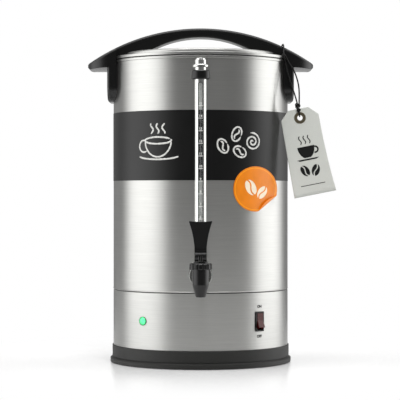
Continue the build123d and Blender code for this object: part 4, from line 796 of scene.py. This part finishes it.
class URN_OT_controls(bpy.types.Operator):
    """Light the lamp, finish the switch and print ON and OFF by it"""

    bl_idname = "urn.controls"
    bl_label = "Lamp and switch"

    def execute(self, context):
        sizes = context.scene.urn_sizes
        low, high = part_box("lamp_lens")
        ball_radius = 0.0065
        glow_middle = (-0.0814, 0.0, (low.z + high.z) / 2 + 0.0005)
        paint(lit_lens(tuple(context.scene.urn_colours.lamp), glow_middle, ball_radius), "lamp_lens")
        paint(moulded("green polycarbonate", linear("2a8a55"), 0.3, 0.6), "lamp_holder")
        paint(red_lens(), "switch_rocker")
        tinned = metal("tinned brass", linear("cfc9b8"), 0.35, 1.0)
        paint(tinned, "switch_tabs", "inlet_pins", "terminal_screws")
        paint(moulded("white terminal polyamide", linear("dcdbd4"), 0.5, 0.8), "terminal_block")
        paint(moulded("red silicone sleeve", linear("a8321f"), 0.5, 0.6), "wiring")
        switch_azimuth = math.radians(40.5)
        letter_height, letter_bold, ink_out = 0.0037, 0.00032, 0.0001
        parts = []
        for text, z in (("ON", 0.0880), ("OFF", 0.0452)):
            flat, faces = lettering(text, letter_height, letter_bold)
            flat = flat + (switch_azimuth * sizes.tank_radius, z)
            parts.append((on_wall(flat, sizes.tank_radius, ink_out)[0], faces))
        ink = printed_film("black ink", linear("2c2c2c"), 0.5)
        piece("switch_lettering", parts, ink, "urn", smooth=False, closed=False)
        return {"FINISHED"}


class URN_OT_tag(bpy.types.Operator):
    """Hang the swing tag on its waxed string"""

    bl_idname = "urn.tag"
    bl_label = "Swing tag"

    def execute(self, context):
        self.card(tuple(context.scene.urn_colours.tag))
        paint(metal("aged brass", linear("a39880"), 0.42, 0.6), "tag_eyelet")
        cord_finish = waxed_cord()
        knot = self.knot(cord_finish)
        self.string(context, cord_finish, knot)
        return {"FINISHED"}

    def string(self, context, finish, knot):
        """String from the knot up, once round the end of the lid's handle and down to the knot: a
        round section on one smooth curve over the points of its route, in millimetres."""
        sizes = context.scene.urn_sizes
        route = [
            (141.5, -59.6, 380.6), (139.4, -58.6, 389.0), (136.4, -56.6, 399.0), (132.9, -54.4, 409.0),
            (129.2, -52.4, 421.0), (126.0, -50.8, 433.5), (123.4, -49.8, 446.0), (121.9, -49.2, 457.0),
            (121.9, -41.0, 460.2), (122.6, -30.0, 460.8), (123.5, -21.8, 463.2), (123.3, -19.8, 470.0),
            (122.9, -11.0, 473.0), (122.4, 10.0, 473.0), (121.9, 20.4, 470.0), (121.3, 22.0, 462.0),
            (120.7, 23.0, 455.0), (120.5, 14.0, 453.8), (120.4, -13.0, 454.0), (120.3, -30.0, 454.4),
            (121.0, -43.0, 455.6), (123.4, -48.0, 455.0), (127.0, -49.8, 447.0), (131.6, -50.4, 438.6),
            (136.8, -51.6, 431.0), (140.8, -53.6, 420.0), (143.3, -56.0, 409.5), (144.4, -58.2, 397.0),
            (143.9, -59.6, 381.0),
        ]
        curve = bpy.data.curves.new("tag_string_line", "CURVE")
        curve.dimensions = "3D"
        curve.bevel_depth = sizes.cord_diameter / 2
        curve.bevel_resolution = 3
        curve.use_fill_caps = True
        spline = curve.splines.new("NURBS")
        spline.points.add(len(route) - 1)
        for point, place in zip(spline.points, route):
            point.co = (*[c * MM for c in place], 1.0)
        spline.order_u = 3
        spline.use_endpoint_u = True
        spline.resolution_u = 8
        curve.materials.append(finish)
        string = bpy.data.objects.new("waxed_string", curve)
        context.scene.collection.objects.link(string)
        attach(string, "lid")
        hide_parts("tag_string")

    def hung(self, flat, out):
        """Flat card points (across, up) and their height over its face, placed where it hangs: it
        leans in its own plane, and bows forward with the square of the way down and across."""
        top = np.array([0.1425, -0.059, 0.3741])
        lean = math.radians(11.2)
        most_bow, long, half = 0.0022, 0.1275, 0.028
        across, up = flat[..., 0], flat[..., 1]
        bow = most_bow * (np.clip(-up, 0, None) / long) ** 2 * (across / half) ** 2
        return top + np.stack([
            across * math.cos(lean) - up * math.sin(lean),
            -(bow + out),
            across * math.sin(lean) + up * math.cos(lean),
        ], axis=-1)

    def card(self, colour):
        """Card with cut corners: lines run from the eyelet's hole to the outline, whose left side
        drifts out evenly and whose right side flares with the square of the way down."""
        long, half, cut, thickness = 0.1275, 0.0279, 0.0130, 0.0008
        hole_drop, hole_radius = 0.0134, 0.0046
        drift, flare_per_m = 0.0244, 0.48
        down = np.linspace(cut, long, 40)
        run = down - cut
        right = np.stack([half - drift * run + flare_per_m * run**2, -down], axis=-1)
        left = np.stack([-half - drift * run, -down], axis=-1)
        foot, top_share, corner = (np.linspace(0, 1, count)[:, None] for count in (20, 12, 8))
        top_left, top_right = np.array([-half + cut, 0.0]), np.array([half - cut, 0.0])
        outline = np.concatenate([
            right,
            (right[-1] + (left[-1] - right[-1]) * foot)[1:-1],
            left[::-1],
            left[0] + (top_left - left[0]) * corner[1:-1],
            top_left + (top_right - top_left) * top_share,
            top_right + (right[0] - top_right) * corner[1:-1],
        ])
        middle = np.array([0.0, -hole_drop])
        rim = middle + hole_radius * unit(outline - middle)
        share = np.linspace(0, 1, 24)[:, None, None] ** 1.4
        sheet = piece(
            "swing_card", [grid(self.hung(rim + (outline - rim) * share, 0.0), join_columns=True)],
            tag_card(colour), "lid",
        )
        thicken(sheet, thickness)
        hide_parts("swing_tag")
        ink = printed_film("black card ink", linear("101010"), 0.6)
        ink_out = 0.00055
        parts = [grid(self.hung(shape, ink_out)) for shape in self.pictures()]
        piece("card_print", parts, ink, "lid", closed=False)

    def pictures(self):
        """Flat grids of a plain cup seen from the side (half an ellipse, cut short, with a ring for
        its ear and a strip for its saucer), three sine waves of steam, two beans and a rule."""
        share = np.linspace(-1, 1, 17)
        depth = np.linspace(0, 1, 20)[:, None]
        bowl_half, bowl_top, bowl_depth, bowl_cut = 0.0125, -0.0560, 0.0165, 0.93
        width = bowl_half * np.sqrt(1 - (bowl_cut * depth) ** 2)
        bowl = spread(width * share, bowl_top - bowl_depth * depth)
        ear_z, ear_inner, ear_outer = -0.0625, 0.0032, 0.0056
        turn = np.linspace(-1.9, 1.6, 24)[:, None]
        reach = np.array([ear_inner, ear_outer])
        ear = spread(bowl_half + reach * np.cos(turn), ear_z + reach * np.sin(turn))
        dish_halves, dish_edges = np.array([[0.0165], [0.012375]]), np.array([[-0.0742], [-0.0764]])
        dish = spread(dish_halves * share, dish_edges)
        sway, line_half, steam_foot, steam_height = 0.0013, 0.0008, -0.0525, 0.0125
        rise = np.linspace(0, 1, 24)[:, None]
        wave = sway * np.sin(rise * FULL_TURN) + np.array([-line_half, line_half])
        steam = [spread(x + wave, steam_foot + steam_height * rise) for x in (-0.0065, 0.0, 0.0065)]
        beans = bean_lobes((-0.0075, -0.0910), 0.0058, 0.0088, 0.5)
        beans += bean_lobes((0.0080, -0.0925), 0.0058, 0.0088, -0.4)
        rule_half, rule_edges = 0.0180, np.array([[-0.1120], [-0.1130]])
        return [bowl, ear, dish, *steam, *beans, spread(rule_half * share, rule_edges)]

    def knot(self, finish):
        """Knot of the string: a bight through the eyelet, an ellipse square to the card, and on it
        two trefoils (three lobes wound twice round a ring), the lower one in front."""
        cord_radius = 0.00105
        turn = round_angles(96)
        bight = np.stack([0 * turn, -0.0034 + 0.0080 * np.cos(turn), 0.0034 * np.sin(turn)], axis=-1)
        shapes = [(bight, (1.0, 0.0, 0.0))]
        for middle, ring in (((0.0, 0.0044, 0.0), 0.0022), ((0.0, -0.0020, 0.0039), 0.0015)):
            reach = ring * (1 + 0.48 * np.cos(3 * turn))
            trefoil = np.stack([
                reach * np.cos(2 * turn), 1.15 * reach * np.sin(2 * turn), 0.55 * ring * np.sin(3 * turn),
            ], axis=-1)
            shapes.append((trefoil + middle, (0.0, 0.0, 1.0)))
        parts = []
        for path, beside in shapes:
            vertices, faces = tube(path, cord_radius, beside)
            parts.append((self.hung(vertices[:, :2], vertices[:, 2]), faces))
        made = piece("string_knot", parts, finish, "lid")
        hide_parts("tag_knot")
        return made


class URN_OT_stage(bpy.types.Operator):
    """Set the pale floor, the studio light and the camera"""

    bl_idname = "urn.stage"
    bl_label = "Stage"

    def execute(self, context):
        self.floor(context)
        self.world(context)
        self.lamps(context)
        self.camera(context)
        context.scene.view_settings.view_transform = "Standard"
        return {"FINISHED"}

    def floor(self, context):
        """Disc of pale lacquered board: white to the camera but for the shadows near the object,
        and plain white well before its edge, so that the edge doesn't show."""
        glow_strength, fade_from, fade_to = 0.11, 0.19, 0.45
        angle = round_angles(96)
        reach = np.array([0.0, 0.2, 0.4, 0.62])[:, None]
        points = np.stack(np.broadcast_arrays(reach * np.cos(angle), reach * np.sin(angle), 0.0), axis=-1)
        vertices, faces = grid(points, join_columns=True)
        mesh = bpy.data.meshes.new("floor")
        mesh.from_pydata(vertices.tolist(), [], faces)
        material, tree, shader = finish_of(
            "white lacquered board", Roughness=0.25, IOR=1.3, Base_Color=linear("e2e2e2")
        )
        light = add(tree, "ShaderNodeLightPath")
        glow = add(tree, "ShaderNodeEmission", {"Color": (1, 1, 1, 1), "Strength": glow_strength})
        lit = add(tree, "ShaderNodeAddShader", {0: shader.outputs[0], 1: glow.outputs[0]})
        place = add(tree, "ShaderNodeTexCoord")
        distance = add(tree, "ShaderNodeVectorMath", {0: place.outputs["Object"]}, operation="LENGTH")
        fade = add(
            tree, "ShaderNodeMapRange",
            {"Value": distance.outputs["Value"], "From Min": fade_from, "From Max": fade_to},
            interpolation_type="SMOOTHSTEP",
        )
        plain = add(tree, "ShaderNodeEmission", {"Color": (1, 1, 1, 1), "Strength": 1.0})
        faded = add(
            tree, "ShaderNodeMixShader", {0: fade.outputs[0], 1: lit.outputs[0], 2: plain.outputs[0]}
        )
        seen = add(
            tree, "ShaderNodeMixShader",
            {0: light.outputs["Is Camera Ray"], 1: shader.outputs[0], 2: faded.outputs[0]},
        )
        tree.links.new(seen.outputs[0], tree.nodes["Material Output"].inputs["Surface"])
        mesh.materials.append(material)
        made = bpy.data.objects.new("floor", mesh)
        context.scene.collection.objects.link(made)

    def world(self, context):
        """White background.  What lights the urn and shows in its steel is a studio whose walls
        change with their azimuth: dark in front, a tall bright panel on each side, dim behind."""
        world = bpy.data.worlds.new("studio")
        context.scene.world = world
        world.use_nodes = True
        tree = world.node_tree
        tree.nodes.clear()
        place = add(tree, "ShaderNodeTexCoord")
        axes = add(tree, "ShaderNodeSeparateXYZ", {0: place.outputs["Generated"]})
        # turns from 0 straight behind, by the left, 0.5 in front, by the right, to 1 behind again
        back = add(tree, "ShaderNodeMath", {0: axes.outputs["Y"], 1: -1.0}, operation="MULTIPLY")
        azimuth = add(
            tree, "ShaderNodeMath", {0: axes.outputs["X"], 1: back.outputs[0]}, operation="ARCTAN2"
        )
        turns = add(
            tree, "ShaderNodeMath", {0: azimuth.outputs[0], 1: 1 / FULL_TURN, 2: 0.5},
            operation="MULTIPLY_ADD",
        )
        brightest = 1.95
        levels = (
            (0.000, 1.00), (0.018, 1.00), (0.028, 0.25), (0.090, 0.32), (0.155, 0.36), (0.185, 0.95),
            (0.215, 1.75), (0.260, 1.95), (0.310, 1.85), (0.345, 1.35), (0.380, 0.42), (0.410, 0.16),
            (0.500, 0.14), (0.660, 0.18), (0.685, 0.34), (0.715, 1.05), (0.745, 1.80), (0.790, 1.95),
            (0.825, 1.90), (0.855, 1.30), (0.890, 0.40), (0.915, 0.28), (0.972, 0.25), (0.982, 1.00),
            (1.000, 1.00),
        )
        stops = [(turn, (*[level / brightest] * 3, 1.0)) for turn, level in levels]
        walls = add(tree, "ShaderNodeValToRGB", {"Fac": turns.outputs[0]}, stops)
        white = add(tree, "ShaderNodeBackground", {"Color": (1, 1, 1, 1), "Strength": 1.0})
        studio = add(
            tree, "ShaderNodeBackground", {"Color": walls.outputs["Color"], "Strength": brightest}
        )
        light = add(tree, "ShaderNodeLightPath")
        straight = add(
            tree, "ShaderNodeMath",
            {0: light.outputs["Is Camera Ray"], 1: light.outputs["Is Transmission Ray"]},
            operation="MAXIMUM",
        )
        seen = add(
            tree, "ShaderNodeMixShader",
            {0: straight.outputs[0], 1: studio.outputs[0], 2: white.outputs[0]},
        )
        out = add(tree, "ShaderNodeOutputWorld")
        tree.links.new(seen.outputs[0], out.inputs["Surface"])

    def lamps(self, context):
        """A broad soft panel overhead, and one in front that gloss doesn't show."""
        aimed_at = np.array([0.0, 0.0, 0.25])
        for name, power, size, place, in_gloss in (
            ("overhead", 20.0, 1.6, (0.0, -0.3, 2.4), True),
            ("front", 60.0, 1.2, (0.9, -3.0, 1.9), False),
        ):
            lamp = bpy.data.lights.new(name, "AREA")
            lamp.energy = power
            lamp.size = size
            made = bpy.data.objects.new(name, lamp)
            made.location = place
            made.visible_glossy = in_gloss
            x, y, z = aimed_at - np.array(place)
            made.rotation_euler = (math.atan2(math.hypot(x, y), -z), 0.0, math.atan2(x, -y) + math.pi)
            context.scene.collection.objects.link(made)

    def camera(self, context):
        """Level lens 2.5 m in front of the urn's axis, at half its height."""
        camera = bpy.data.cameras.new("camera")
        camera.lens = 150.2
        camera.sensor_width = 36.0
        camera.shift_x = -0.0015
        camera.shift_y = -0.01375
        made = bpy.data.objects.new("camera", camera)
        made.location = (0.0, -2.497, 0.249)
        made.rotation_euler = (math.pi / 2, 0.0, 0.0)
        context.scene.collection.objects.link(made)
        context.scene.camera = made


class URN_PT_panel(bpy.types.Panel):
    """Lists the urn's operators"""

    bl_idname = "URN_PT_panel"
    bl_label = "Coffee urn"
    bl_space_type = "VIEW_3D"
    bl_region_type = "UI"
    bl_category = "Urn"

    def draw(self, context):
        for operator in OPERATORS:
            self.layout.operator(operator.bl_idname)


OPERATORS = (
    URN_OT_steel,
    URN_OT_lid,
    URN_OT_handles,
    URN_OT_band,
    URN_OT_label,
    URN_OT_gauge,
    URN_OT_tap,
    URN_OT_controls,
    URN_OT_tag,
    URN_OT_stage,
)
CLASSES = (UrnSizes, UrnColours, *OPERATORS, URN_PT_panel)


def register():
    """Registers the classes and puts the settings on the scene."""
    for cls in CLASSES:
        bpy.utils.register_class(cls)
    bpy.types.Scene.urn_sizes = PointerProperty(type=UrnSizes)
    bpy.types.Scene.urn_colours = PointerProperty(type=UrnColours)


def unregister():
    """Takes the settings and classes away again."""
    del bpy.types.Scene.urn_colours
    del bpy.types.Scene.urn_sizes
    for cls in reversed(CLASSES):
        bpy.utils.unregister_class(cls)


def main():
    """Dresses the urn."""
    register()
    for operator in OPERATORS:
        group, name = operator.bl_idname.split(".")
        getattr(getattr(bpy.ops, group), name)()


if __name__ == "__main__":
    main()
